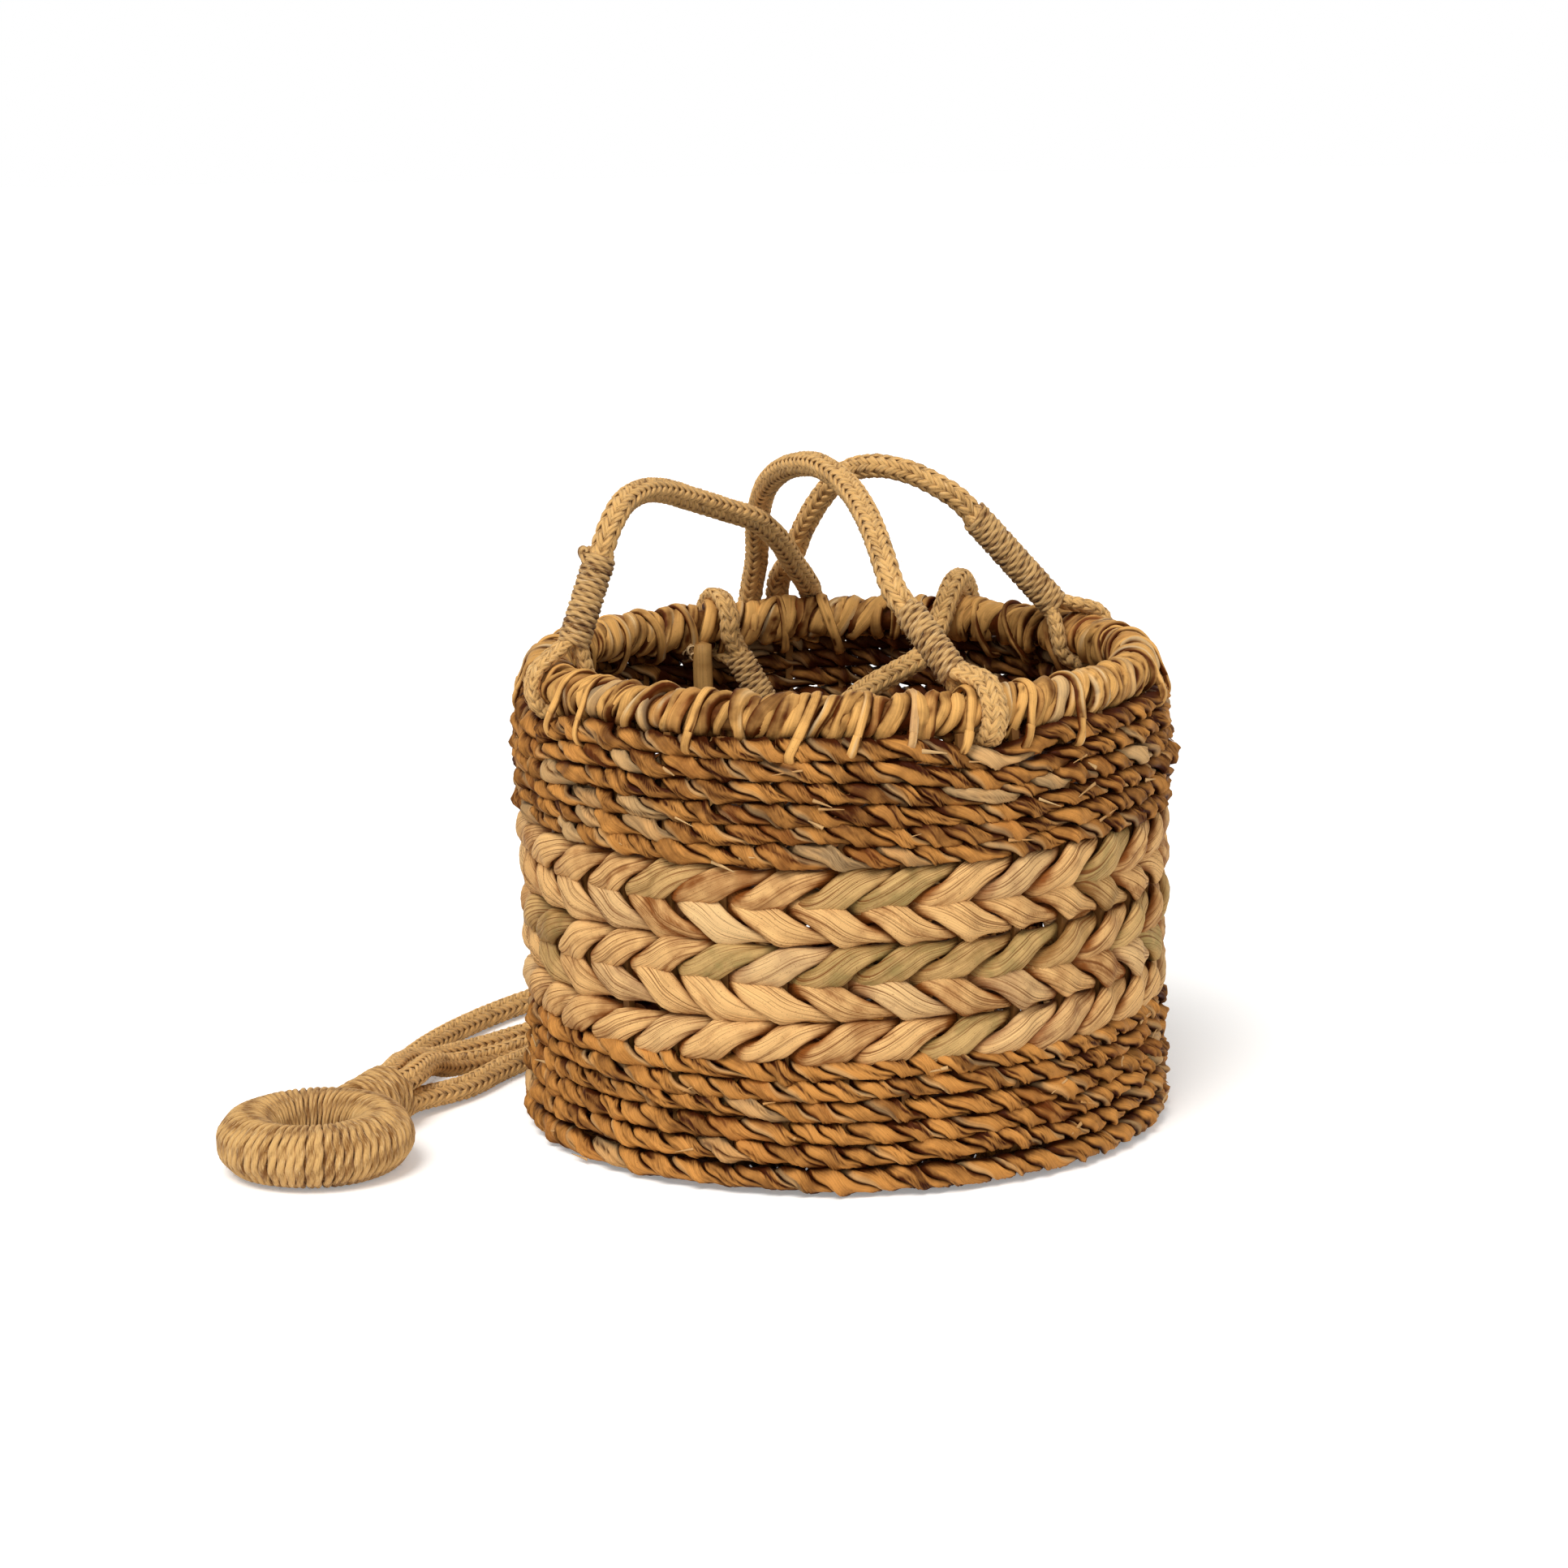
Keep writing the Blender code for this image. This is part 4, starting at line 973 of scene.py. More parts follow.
@dataclass
class BasketWall:
    """All rows of the wall, placed by the boxes of the nodes that they replace."""

    seagrass_inset: float = 0.0070
    hyacinth_inset: float = 0.0077
    dip: float = 0.0066
    upper_fullness: float = 0.0020
    hyacinth_fullness: float = 0.0010
    lower_fullness: float = 0.0016
    foot_spread: float = 0.0045
    foot_strand_radius: float = 0.0012
    foot_lift: float = 0.0004
    corner_inset: float = 0.0078
    corner_height: float = 0.0046
    upper_rows: int = 6
    hyacinth_rows: int = 5
    lower_rows: int = 5

    def box(self, node: str) -> tuple[float, float, float]:
        """A ring node's outer radius, mid height and top."""
        low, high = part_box(node)
        return (high.x - low.x) / 2.0, (low.z + high.z) / 2.0, high.z

    def upper_band(self) -> None:
        """Six seagrass rows under the rim, pressed down at the eyes, the top ones most."""
        _, middle, top = self.box("upper_row_6_outer")
        half = top - middle
        for index in range(self.upper_rows):
            nodes = (f"upper_row_{index + 1}_outer", f"upper_row_{index + 1}_inner")
            outer, _, top = self.box(nodes[0])
            radius = outer - self.seagrass_inset + self.upper_fullness
            dip = self.dip * (1.0 - index / (self.upper_rows - 1))
            reach = 1.5 + 0.3 * index
            row = WallRow(radius, top - half, wave=0.0005, seed=100 + index, dip=dip, reach=reach)
            # tone 0.60: painted shade under the rim.
            piece = SeagrassRow(row, Lean.FALLING, seed=index + 1, tone=0.60)
            dress(piece.build(f"seagrass_row_upper_{index + 1}"), SEAGRASS, ROOT, nodes)

    def lower_band(self) -> None:
        """Five seagrass rows under the hyacinth, which spread toward the foot."""
        for index in range(self.lower_rows):
            nodes = (f"lower_row_{index + 1}_outer", f"lower_row_{index + 1}_inner")
            outer, middle, _ = self.box(nodes[0])
            radius = outer - self.seagrass_inset + self.lower_fullness
            radius += self.foot_spread * max(0.0, 0.6 - 0.3 * index)
            row = WallRow(radius, middle, wave=0.0008, seed=200 + index)
            # tone 0.74: painted light from the floor.
            piece = SeagrassRow(row, Lean.FALLING, seed=20 + index, half_height=0.0044, tone=0.74)
            dress(piece.build(f"seagrass_row_lower_{index + 1}"), SEAGRASS, ROOT, nodes)

    def foot(self) -> None:
        """The row round the foot, and a thinner one that closes the corner to the base."""
        outer, middle, _ = self.box("foot_strand")
        radius = outer - self.foot_strand_radius + self.foot_spread
        row = WallRow(radius, middle + self.foot_lift, wave=0.0002, seed=230)
        piece = SeagrassRow(
            row, Lean.FALLING, seed=30, half_height=0.0045, half_thickness=0.0050, opening=0.0004, tone=0.74
        )
        dress(piece.build("seagrass_foot_row"), SEAGRASS, ROOT, ("foot_strand",))
        row = WallRow(radius - self.corner_inset, self.corner_height, wave=0.0003, seed=231)
        piece = SeagrassRow(
            row, Lean.RISING, seed=31, half_height=0.0036, half_thickness=0.0046, opening=0.0004, tone=0.66,
            slivers=1,
        )
        dress(piece.build("seagrass_corner_row"), SEAGRASS, ROOT)

    def hyacinth_band(self) -> None:
        """Five plump rows whose lobes lean right and left by turns."""
        for index in range(self.hyacinth_rows):
            nodes = (f"hyacinth_row_{index + 1}_a", f"hyacinth_row_{index + 1}_b")
            outer, middle, _ = self.box(nodes[0])
            radius = outer - self.hyacinth_inset + self.hyacinth_fullness
            row = WallRow(radius, middle, wave=0.0007, seed=300 + index)
            piece = HyacinthRow(row, Lean.RISING if index % 2 == 0 else Lean.FALLING, seed=index)
            dress(piece.build(f"hyacinth_plait_{index + 1}"), HYACINTH, ROOT, nodes)


@dataclass
class BaseWeave:
    """Twisted seagrass rings laid under and over the spokes of the base."""

    pitch: float = 0.0082
    first: float = 0.010
    lobe: float = 0.022
    samples_per_lobe: int = 11
    sides: int = 10
    half_width: float = 0.0034
    half_thickness: float = 0.0022
    sway: float = 0.0018

    def build(self) -> None:
        """Builds all rings as one piece."""
        nodes = ("base_under_weave", "base_inner_weave")
        low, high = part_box(nodes[0])[0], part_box(nodes[1])[1]
        middle, reach = (low.z + high.z) / 2.0, (high.z - low.z) / 2.0 - self.half_thickness
        outer = high.x - 0.5 * self.pitch
        mesh = StrandMesh(source(5))
        rng = mesh.rng
        places = wrapped(circle(self.sides))
        shape = outline(self.sides, sharpness=0.2)[None] * np.array([self.half_width, self.half_thickness])
        for index in range(int((outer - self.first) / self.pitch) + 1):
            radius = outer - index * self.pitch
            lobes = max(3, round(FULL_TURN * radius / self.lobe))
            angle = circle(lobes * self.samples_per_lobe)
            outward = polar(angle, 1.0, 0.0)
            for strand in range(2):
                twist = angle * lobes + math.pi * strand
                line = polar(angle, radius + self.sway * np.sin(twist), middle + reach * np.cos(twist))
                lobe, along = lobes_of(twist, lobes)
                relief, _, _ = folded(places, lobe, along, rng, facets=6.0, creases=2, depth=0.2)
                leaf = np.zeros((len(angle), 3))
                leaf[:, 0] = np.clip(rng.normal(0.5, 0.2, lobes), 0.1, 1.0)[lobe]
                leaf[:, 1] = np.where(rng.random(lobes) < 0.2, 0.5, 0.0)[lobe]
                section = shape * relief[..., None]
                mesh.sweep(line, outward, section, leaf, closed=True, shift=9.0 * index)
        dress(mesh.build("base_weave"), SEAGRASS, ROOT, nodes)


# One stitch over the rim: outward and upward from the rim's axis.
STITCH_PATH = (
    (0.0118, -0.0060), (0.0096, -0.0010), (0.0074, 0.0046), (0.0040, 0.0078), (0.0, 0.0087),
    (-0.0043, 0.0076), (-0.0078, 0.0039), (-0.0086, 0.0), (-0.0076, -0.0062), (-0.0052, -0.0110),
    (-0.0030, -0.0145), (0.0010, -0.0165), (0.0070, -0.0163), (0.0116, -0.0145), (0.0130, -0.0110),
    (0.0118, -0.0060),
)


@dataclass
class RimBorder:
    """A leaf wrapped round and round the rim, with one long stitch at most stakes."""

    turns: int = 156
    half_thickness: float = 0.0020
    half_width: float = 0.0030
    slant: float = 0.0080
    sag: float = 0.0030
    stitched_share: float = 0.75
    samples: int = 34
    sides: int = 12

    def __post_init__(self) -> None:
        """Works out the rim's tube from its node."""
        low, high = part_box("rim_border")
        self.tube = (high.z - low.z) / 2.0
        self.height = (low.z + high.z) / 2.0
        self.radius = (high.x - low.x) / 2.0 - self.tube

    def build(self) -> None:
        """Builds the core, the wraps and the stitches as one piece."""
        mesh = StrandMesh(source(11))
        angle = circle(240)
        # The core is near black: painted shade seen through the gaps between wraps.
        core = outline(18) * (self.tube - self.half_thickness)
        line = polar(angle, self.radius, self.height)
        mesh.sweep(line, polar(angle, 1.0, 0.0), core, (0.16, 0.0, 0.0), closed=True)
        for turn in range(self.turns):
            self.wrap(mesh, turn)
        for stake in range(STAKES):
            if mesh.rng.random() < self.stitched_share:
                self.stitch(mesh, stake)
        dress(mesh.build("rim_wrapping"), RIM_LEAF, ROOT, ("rim_border",))

    def wrap(self, mesh: StrandMesh, turn: int) -> None:
        """Adds one turn, from under the rim outside, over it and down inside.

        Args:
            mesh: where it goes.
            turn: the turn's number.
        """
        rng = mesh.rng
        place = (turn + 0.25 * rng.standard_normal()) / self.turns * FULL_TURN
        turned = np.linspace(math.radians(-85.0), math.radians(265.0), self.samples)
        # Some turns are laid askew over their neighbours.
        over = rng.random() < 0.20
        reach = self.tube - 0.6 * self.half_thickness + 0.0005 * rng.standard_normal()
        reach = reach + (0.0010 if over else 0.0)
        reach = reach + 0.0005 * np.sin(3.0 * turned + rng.uniform(0.0, FULL_TURN))
        slant = self.slant * (1.0 + 0.15 * rng.standard_normal()) * (rng.choice([0.4, 1.9]) if over else 1.0)
        shift = slant * (turned / math.pi - 0.5)
        shift = shift + 0.0008 * np.sin(2.0 * turned + rng.uniform(0.0, FULL_TURN))
        angle = place + shift / self.radius
        # Beside an eye, where the first row is pressed down, the wraps hang lower.
        beside = max(math.exp(-((apart - 1.0) / 0.5) ** 2) for apart in stakes_away(place))
        sag = self.sag * beside * np.clip(-np.sin(turned), 0.0, 1.0)
        line = polar(angle, self.radius + reach * np.cos(turned), self.height + reach * np.sin(turned) - sag)
        self.leaf(mesh, line, angle, turned, size=1.0, wild=1.0)

    def stitch(self, mesh: StrandMesh, stake: int) -> None:
        """Adds one long stitch, down past the first row and back inside.

        Args:
            mesh: where it goes.
            stake: the stake that it goes by.
        """
        rng = mesh.rng
        place = stake_angle(stake + 0.30 + 0.16 * rng.standard_normal())
        depth = np.clip(0.90 + 0.10 * rng.standard_normal(), 0.72, 1.05)
        path = [(across, rise * (depth if rise < 0.0 else 1.0), 0.0) for across, rise in STITCH_PATH]
        route = smooth_curve(path, steps=3)
        shift = rng.uniform(0.0005, 0.0040) * np.clip(route[:, 1] / self.tube, -1.5, 1.0)
        angle = place + shift / self.radius
        line = polar(angle, self.radius + route[:, 0], self.height + route[:, 1])
        turned = np.linspace(0.0, FULL_TURN, len(line))
        self.leaf(mesh, line, angle, turned, size=rng.uniform(0.55, 0.80), wild=0.3)

    def leaf(
        self, mesh: StrandMesh, line: Array, angle: Array, turned: Array, size: float, wild: float
    ) -> None:
        """Adds a folded leaf along a line.

        Args:
            mesh: where it goes.
            line: its centreline.
            angle: where each centre lies round the rim.
            turned: how far each centre has gone round the rim's tube.
            size: its width as a share of a usual one.
            wild: how much it rolls and swells along its length, as a share.
        """
        rng, rows = mesh.rng, len(line)
        middle = polar(angle, self.radius, self.height - 0.004 * (1.0 - size))
        # The leaf turns a little on itself, so now one edge and now the other stands up.
        roll = wild * (rng.normal(0.0, 0.2) + 0.35 * np.sin(1.4 * turned + rng.uniform(0.0, FULL_TURN)))
        facing = unit(line - middle)
        facing = around(roll, facing, unit(np.cross(facing, unit(np.gradient(line, axis=0)))))
        width = self.half_width * size * np.clip(1.0 + 0.20 * rng.standard_normal(), 0.7, 1.5)
        thick = self.half_thickness * size * np.clip(1.0 + 0.15 * rng.standard_normal(), 0.7, 1.3)
        taper = 1.0 + 0.20 * wild * np.sin(turned * rng.uniform(0.8, 1.6) + rng.uniform(0.0, FULL_TURN))
        places = wrapped(circle(self.sides))
        along = np.linspace(-1.0, 1.0, rows)
        relief, crease, tone = folded(
            places, np.zeros(rows, int), along, rng, facets=5.0, creases=3, depth=0.24,
            drift=rng.normal(0.0, 1.2),
        )
        shape = outline(self.sides)[None] * relief[..., None] * 1.06
        shape = shape * np.stack([thick * np.ones(rows), width * taper], axis=-1)[:, None]
        values = np.zeros((rows, self.sides, 3))
        outside = np.cos(places)[None]
        # Painted shade in creases, on the wrap's edges where turns meet, and on its inner side against the
        # rim.
        values[..., 0] = np.clip(rng.normal(0.72, 0.10), 0.25, 1.0) + 0.10 * tone - 0.8 * crease
        values[..., 0] -= 0.7 * np.abs(np.sin(places))[None] ** 8 + 0.4 * (outside < -0.2)
        values[..., 0] += 0.12 * np.sin(2.0 * turned + rng.uniform(0.0, FULL_TURN))[:, None]
        values[..., 1] = rng.uniform(0.2, 0.5) if rng.random() < 0.10 else 0.0
        pale = rng.uniform(0.2, 0.45) if rng.random() < 0.05 else 0.0
        frayed = rng.uniform(0.5, 0.9) if rng.random() < 0.25 else 0.0
        place = rng.uniform(-0.7, 0.7) + 0.4 * np.sin(turned + rng.uniform(0.0, FULL_TURN))[:, None]
        frayed = frayed * np.exp(-(((np.sin(places)[None] - place) / 0.14) ** 2))
        values[..., 2] = np.maximum(pale, frayed) * (outside > 0.0)
        mesh.sweep(line, facing, shape, values, shift=3.0 * rng.random())


@dataclass
class Braid:
    """Sixteen jute strands, eight each way round, over two and under two, so chevrons show."""

    # A strand's outline: its outside is two yarns with a furrow between, and its inside is flat.
    OUTLINE: ClassVar[tuple] = (-88.0, -52.0, -22.0, 0.0, 22.0, 52.0, 88.0, 180.0)
    FURROW: ClassVar[int] = 3

    diameter: float = 0.0103
    lay: float = 0.038
    ways: int = 8
    weave_depth: float = 0.00072
    strand_half_width: float = 0.00158
    strand_half_thickness: float = 0.00092
    furrow_share: float = 0.72
    step: float = 0.0015

    def add(
        self, mesh: StrandMesh, line: Array, start: Vector, offset: float = 0.0,
        across: Array | float = 1.0, aside: Array | float = 1.0,
    ) -> Vector:
        """Adds the braid along a line.

        Args:
            mesh: where it goes.
            line: the rope's centreline.
            start: a direction across it at its first point.
            offset: distance along the rope at the line's start, so that two pieces match.
            across: the rope's size along that direction as a share, evenly spread along the line.
            aside: its size along the other direction, likewise.

        Returns:
            The direction across the rope at the line's end.
        """
        rng = mesh.rng
        line = spaced(line, self.step)
        along = travelled(line) + offset
        share = (along - along[0]) / (along[-1] - along[0])
        across, aside = (
            np.interp(share, np.linspace(0.0, 1.0, np.size(value)), np.atleast_1d(value))[:, None]
            for value in (across, aside)
        )
        first, second = carried_frames(line, start)
        middle = self.diameter / 2.0 - self.strand_half_thickness - self.weave_depth
        turned = np.radians(self.OUTLINE)
        round_out = np.stack([np.cos(turned), np.sin(turned)], axis=1)
        round_out[self.FURROW, 0] *= self.furrow_share
        places = np.arange(-0.02, 1.0, 0.004)
        for way in (1.0, -1.0):
            for strand in range(self.ways):
                turn = way * FULL_TURN * along / self.lay + (strand + 0.5) * FULL_TURN / self.ways
                weave = way * np.cos(self.ways / 2.0 * turn)
                weave = np.sign(weave) * np.abs(weave) ** 0.7
                radius = middle + self.weave_depth * weave
                centre = line + around(turn, first * across, second * aside) * radius[:, None]
                facing = unit(around(turn, first / across, second / aside))
                grow = 1.0 + 0.07 * np.interp(along, places, rng.standard_normal(len(places)))
                half = np.stack([self.strand_half_thickness * grow, self.strand_half_width * grow], axis=-1)
                tone = np.interp(along, places, rng.normal(0.66, 0.13, len(places)))
                leaf = np.zeros((len(line), len(turned), 3))
                # Painted light: a strand is lighter where it passes over and darker where it passes under;
                # its sides, flat inside and the furrow between its yarns get painted shade.
                leaf[..., 0] = tone[:, None] + 0.26 * weave[:, None] - 0.36 * (np.abs(turned) > 1.2)[None]
                leaf[:, self.FURROW, 0] -= 0.34
                shift = 11.0 * strand + 50.0 * way
                mesh.sweep(centre, facing, round_out[None] * half[:, None], leaf, shift=shift)
        # The core is darker than the strands: painted shade between them.
        core = outline(12)[None] * np.concatenate([across, aside], axis=1)[:, None] * middle * 0.97
        mesh.sweep(line, first, core, (0.42, 0.0, 0.0))
        return Vector(first[-1])


@dataclass
class Fuzz:
    """Short loose fibres that stand out of jute."""

    length: float = 0.0036
    reach: float = 0.0028
    thickness: float = 0.00006
    tone: Colour = (0.8, 0.0, 0.4)

    def add(self, mesh: StrandMesh, line: Array, radius: float, count: int) -> None:
        """Adds fibres round a line.

        Args:
            mesh: where they go.
            line: the cord's centreline.
            radius: the cord's radius.
            count: how many fibres.
        """
        rng = mesh.rng
        tangents = unit(np.gradient(line, axis=0))
        share = np.array([0.0, 0.5, 1.0])[:, None]
        for _ in range(count):
            index = int(rng.integers(2, len(line) - 2))
            tangent = tangents[index]
            across = unit(np.cross(tangent, rng.standard_normal(3)))
            root = line[index] + across * radius * 0.92
            lean = across * rng.uniform(0.1, 0.75) + tangent * rng.choice([-1.0, 1.0])
            lean = unit(lean + 0.3 * rng.standard_normal(3))
            long = self.length * rng.uniform(0.4, 1.0)
            bend = rng.uniform(-0.3, 0.2)
            long = min(long, self.reach / max(lean.dot(across) + bend, 0.1))
            hair = root + lean * long * share + across * bend * long * share**2
            mesh.sweep(hair, np.cross(lean, across) + 0.01 * across, outline(3) * self.thickness, self.tone)


@dataclass(frozen=True)
class Winding:
    """One twine of two plies, along a coiled line. Its tone changes from knot to knot."""

    radius: float = 0.00112
    lay: float = 0.0058
    whole_lays: bool = False
    knot_step: float = 0.008
    knot_reach: float = 0.01
    tone: float = 0.72
    # Painted light on plies where they stand out, and painted shade on the twine's sides, where turns meet.
    ply_painted_light: float = 0.22
    edge_painted_shade: float = 0.5
    edge_power: float = 4
    sides: int = 12

    def add(
        self, mesh: StrandMesh, line: Array, facing: Array, width: Array | float = 1.0, closed: bool = False
    ) -> None:
        """Adds the twine.

        Args:
            mesh: where it goes.
            line: the coiled centreline.
            facing: the way out of what it is wound on, at each centre.
            width: half width along what it is wound on, as a share of the radius, at each centre.
            closed: whether its ends meet.
        """
        along = travelled(line)
        lay = along[-1] / round(along[-1] / self.lay) if self.whole_lays else self.lay
        angle = circle(self.sides)
        ply = np.cos(2.0 * angle[None] - FULL_TURN * along[:, None] / lay)
        shape = outline(self.sides)[None] * (self.radius * (1.0 + 0.16 * ply))[..., None]
        shape[..., 1] *= np.broadcast_to(width, (len(line),))[:, None]
        knots = np.arange(0.0, along[-1] + self.knot_reach, self.knot_step)
        tone = np.interp(along, knots, mesh.rng.normal(self.tone, 0.16, len(knots)))
        leaf = np.zeros((len(line), self.sides, 3))
        # Painted highlight and shade along the plies, and painted shade on the sides between turns.
        leaf[..., 0] = tone[:, None] + self.ply_painted_light * ply
        leaf[..., 0] -= self.edge_painted_shade * np.abs(np.sin(angle))[None] ** self.edge_power
        mesh.sweep(line, facing, shape, leaf, closed)


@dataclass
class RopeEnd:
    """One rope's eye round the rim, its doubled shank and the twine whipped round it.

    The place and the swing axis come from the frame's joint.
    """

    # Where the legs are squeezed together under the twine, and the band spreads over the rim.
    BAND_THICKNESS: ClassVar[tuple] = (0.50, 0.50, 0.58, 0.60, 0.60, 0.60, 0.58, 0.50, 0.50)
    BAND_WIDTH: ClassVar[tuple] = (0.85, 0.85, 1.0, 1.08, 1.1, 1.08, 1.0, 0.85, 0.85)

    name: str
    inward: float
    sideways: float
    upward: float
    eye_radius: float = 0.0116
    leg_offset: float = 0.0024
    shank_half_width: float = 0.0044
    shank_half_thickness: float = 0.0039
    eye_outer: float = 0.0146
    twine_pitch: float = 0.00205

    def __post_init__(self) -> None:
        """Works out the shank's directions."""
        joint = next(j for j in frame["joints"] if j["name"] == f"eye_{self.name}_swing")
        self.body = f"eye_{self.name}"
        self.pieces = [f"eye_braid_{self.name}", f"whipping_twine_{self.name}"]
        self.centre = Vector(joint["pos_m"])
        self.along_rim = -Vector(joint["axis"])
        self.outward = Vector((self.centre.x, self.centre.y, 0.0)).normalized()
        shank = self.sideways * self.along_rim - self.inward * self.outward
        shank.z += self.upward
        self.length = shank.length
        self.direction = shank.normalized()
        self.wide = self.along_rim.cross(self.direction).normalized()
        self.narrow = self.direction.cross(self.wide)
        self.tip = self.centre + shank

    def build(self) -> None:
        """Builds the eye and the whipping."""
        mesh = StrandMesh(source(71 * len(self.name) + ord(self.name[0])))
        lean = math.atan2(self.direction.z, self.direction.dot(self.outward))
        legs = [self.length - 0.001, self.length * 0.75, self.length * 0.5, self.eye_outer + 0.0035]
        points = [self.centre + self.direction * leg + self.wide * self.leg_offset for leg in legs]
        for degrees in range(-48, -313, -24):
            angle = lean + math.radians(degrees)
            way = self.outward * math.cos(angle) + Vector(UP) * math.sin(angle)
            points.append(self.centre + way * self.eye_radius)
        points += [self.centre + self.direction * leg - self.wide * self.leg_offset for leg in legs[::-1]]
        line = smooth_curve(points, steps=10)
        braid = Braid(diameter=0.0097, lay=0.034)
        braid.add(mesh, line, self.wide, across=self.BAND_THICKNESS, aside=self.BAND_WIDTH)
        Fuzz(length=0.0030).add(mesh, line, radius=0.0038, count=160)
        dress(mesh.build(self.pieces[0]), ROPE, self.body, (f"rope_eye_{self.name}",))
        self.whipping(mesh.rng)

    def whipping(self, rng: Random) -> None:
        """Builds the twine wound round the shank.

        Args:
            rng: the rope end's random source.
        """
        mesh = StrandMesh(rng)
        radius = Winding.radius
        start, end = self.eye_outer + radius + 0.0006, self.length - radius - 0.0006
        turns = int((end - start) / self.twine_pitch)
        count = turns * 36 + 1
        angle = np.linspace(0.0, turns * FULL_TURN, count)
        along = np.linspace(start, end, count)
        settle = 0.00030 * np.interp(angle, np.arange(0, turns * 7), rng.standard_normal(turns * 7))
        settle = settle + 0.0011 * np.cos(angle - 0.8)
        wide = np.array(self.wide) * (self.shank_half_width + 0.85 * radius)
        narrow = np.array(self.narrow) * (self.shank_half_thickness + 0.85 * radius)
        line = np.array(self.centre) + np.array(self.direction) * (along + settle)[:, None]
        line = line + around(angle, wide, narrow)
        facing = unit(around(angle, wide / wide.dot(wide), narrow / narrow.dot(narrow)))
        Winding().add(mesh, line, facing)
        if self.name == "left":
            self.knot(mesh, wide, narrow, end)
        Fuzz(length=0.0028).add(mesh, line, radius * 1.05, count=160)
        dress(mesh.build(self.pieces[1]), TWINE, self.body, (f"whipping_{self.name}",))

    def knot(self, mesh: StrandMesh, wide: Array, narrow: Array, end: float) -> None:
        """Adds the twine's end, which comes out from under the last turns and is knotted tight.

        Args:
            mesh: where it goes.
            wide: from the shank's middle to the twine, across it.
            narrow: the same, the other way.
            end: distance of the last turn along the shank.
        """
        base, shank = np.array(self.centre), np.array(self.direction)
        side, front = unit(wide), unit(narrow)
        middle = base + shank * (end - 0.0002) + wide + side * 0.0016
        turn = np.linspace(0.0, 1.6 * FULL_TURN, 40)
        loop = middle + around(turn, side, shank) * 0.00105
        loop = loop + front * 0.0012 * (turn / FULL_TURN - 0.8)[:, None]
        tucked = base + shank * (end - 0.006) + wide * 0.7 + narrow * 0.7
        raised = middle - shank * 0.0022 + side * 0.0004
        Winding(radius=0.0010).add(mesh, smooth_curve([tucked, raised, *loop[::4]], steps=5), front)


# The ropes' routes from the shanks to the neck, given in tenths of a millimetre.
ROUTE_SCALE = 10000.0
ROPE_ROUTES = {
    "left": [
        (-840, -245, 2474), (-775, -90, 2504), (-700, 70, 2490), (-587, 270, 2430), (-462, 450, 2362),
        (-333, 620, 2293), (-236, 810, 2178), (-176, 1000, 2051), (-125, 1140, 1955), (-105, 1270, 1885),
        (-80, 1350, 1730), (-40, 1380, 1500), (10, 1390, 1150), (40, 1390, 800), (20, 1410, 450),
        (-60, 1490, 190), (-200, 1570, 75), (-420, 1570, 52), (-680, 1490, 52), (-1000, 1310, 52),
        (-1270, 1060, 52), (-1510, 775, 53), (-1700, 480, 85), (-1796, 200, 150),
    ],
    "front": [
        (150, -725, 2330), (105, -550, 2442), (32, -300, 2539), (-67, -50, 2588), (-150, 180, 2570),
        (-231, 420, 2510), (-292, 670, 2405), (-326, 940, 2232), (-332, 1100, 2062), (-355, 1220, 1925),
        (-380, 1315, 1760), (-420, 1350, 1500), (-470, 1340, 1100), (-530, 1320, 650), (-600, 1310, 320),
        (-720, 1310, 130), (-880, 1220, 58), (-1080, 1050, 52), (-1290, 820, 52), (-1480, 580, 54),
        (-1625, 340, 95), (-1690, 120, 160),
    ],
    "right": [
        (386, 570, 2440), (279, 610, 2483), (150, 700, 2494), (35, 820, 2448), (-65, 940, 2326),
        (-133, 1040, 2198), (-189, 1160, 2044), (-240, 1260, 1945), (-250, 1340, 1780),
        (-250, 1375, 1500), (-250, 1385, 1100), (-250, 1390, 750), (-250, 1415, 450), (-265, 1475, 270),
        (-295, 1575, 174), (-360, 1700, 106), (-480, 1830, 58), (-680, 1940, 52), (-940, 1910, 52),
        (-1200, 1730, 52), (-1430, 1440, 52), (-1620, 1110, 52), (-1765, 760, 52), (-1845, 380, 54),
    ],
    "back": [
        (-200, 820, 1190), (-155, 650, 1090), (-110, 480, 1130), (-80, 385, 1270), (-40, 410, 1430),
        (30, 520, 1530), (120, 640, 1585), (230, 720, 1630), (350, 795, 1690), (410, 865, 1780),
        (453, 935, 1880), (490, 1035, 1946), (523, 1140, 1954), (550, 1230, 1910), (568, 1295, 1805),
        (565, 1320, 1660), (540, 1315, 1480), (485, 1305, 1100), (430, 1310, 700), (370, 1325, 350),
        (280, 1350, 145), (140, 1380, 64), (-60, 1385, 52), (-260, 1365, 52), (-520, 1280, 52),
        (-790, 1135, 52), (-1020, 940, 52), (-1230, 700, 52), (-1405, 440, 52), (-1540, 160, 54),
    ],
}


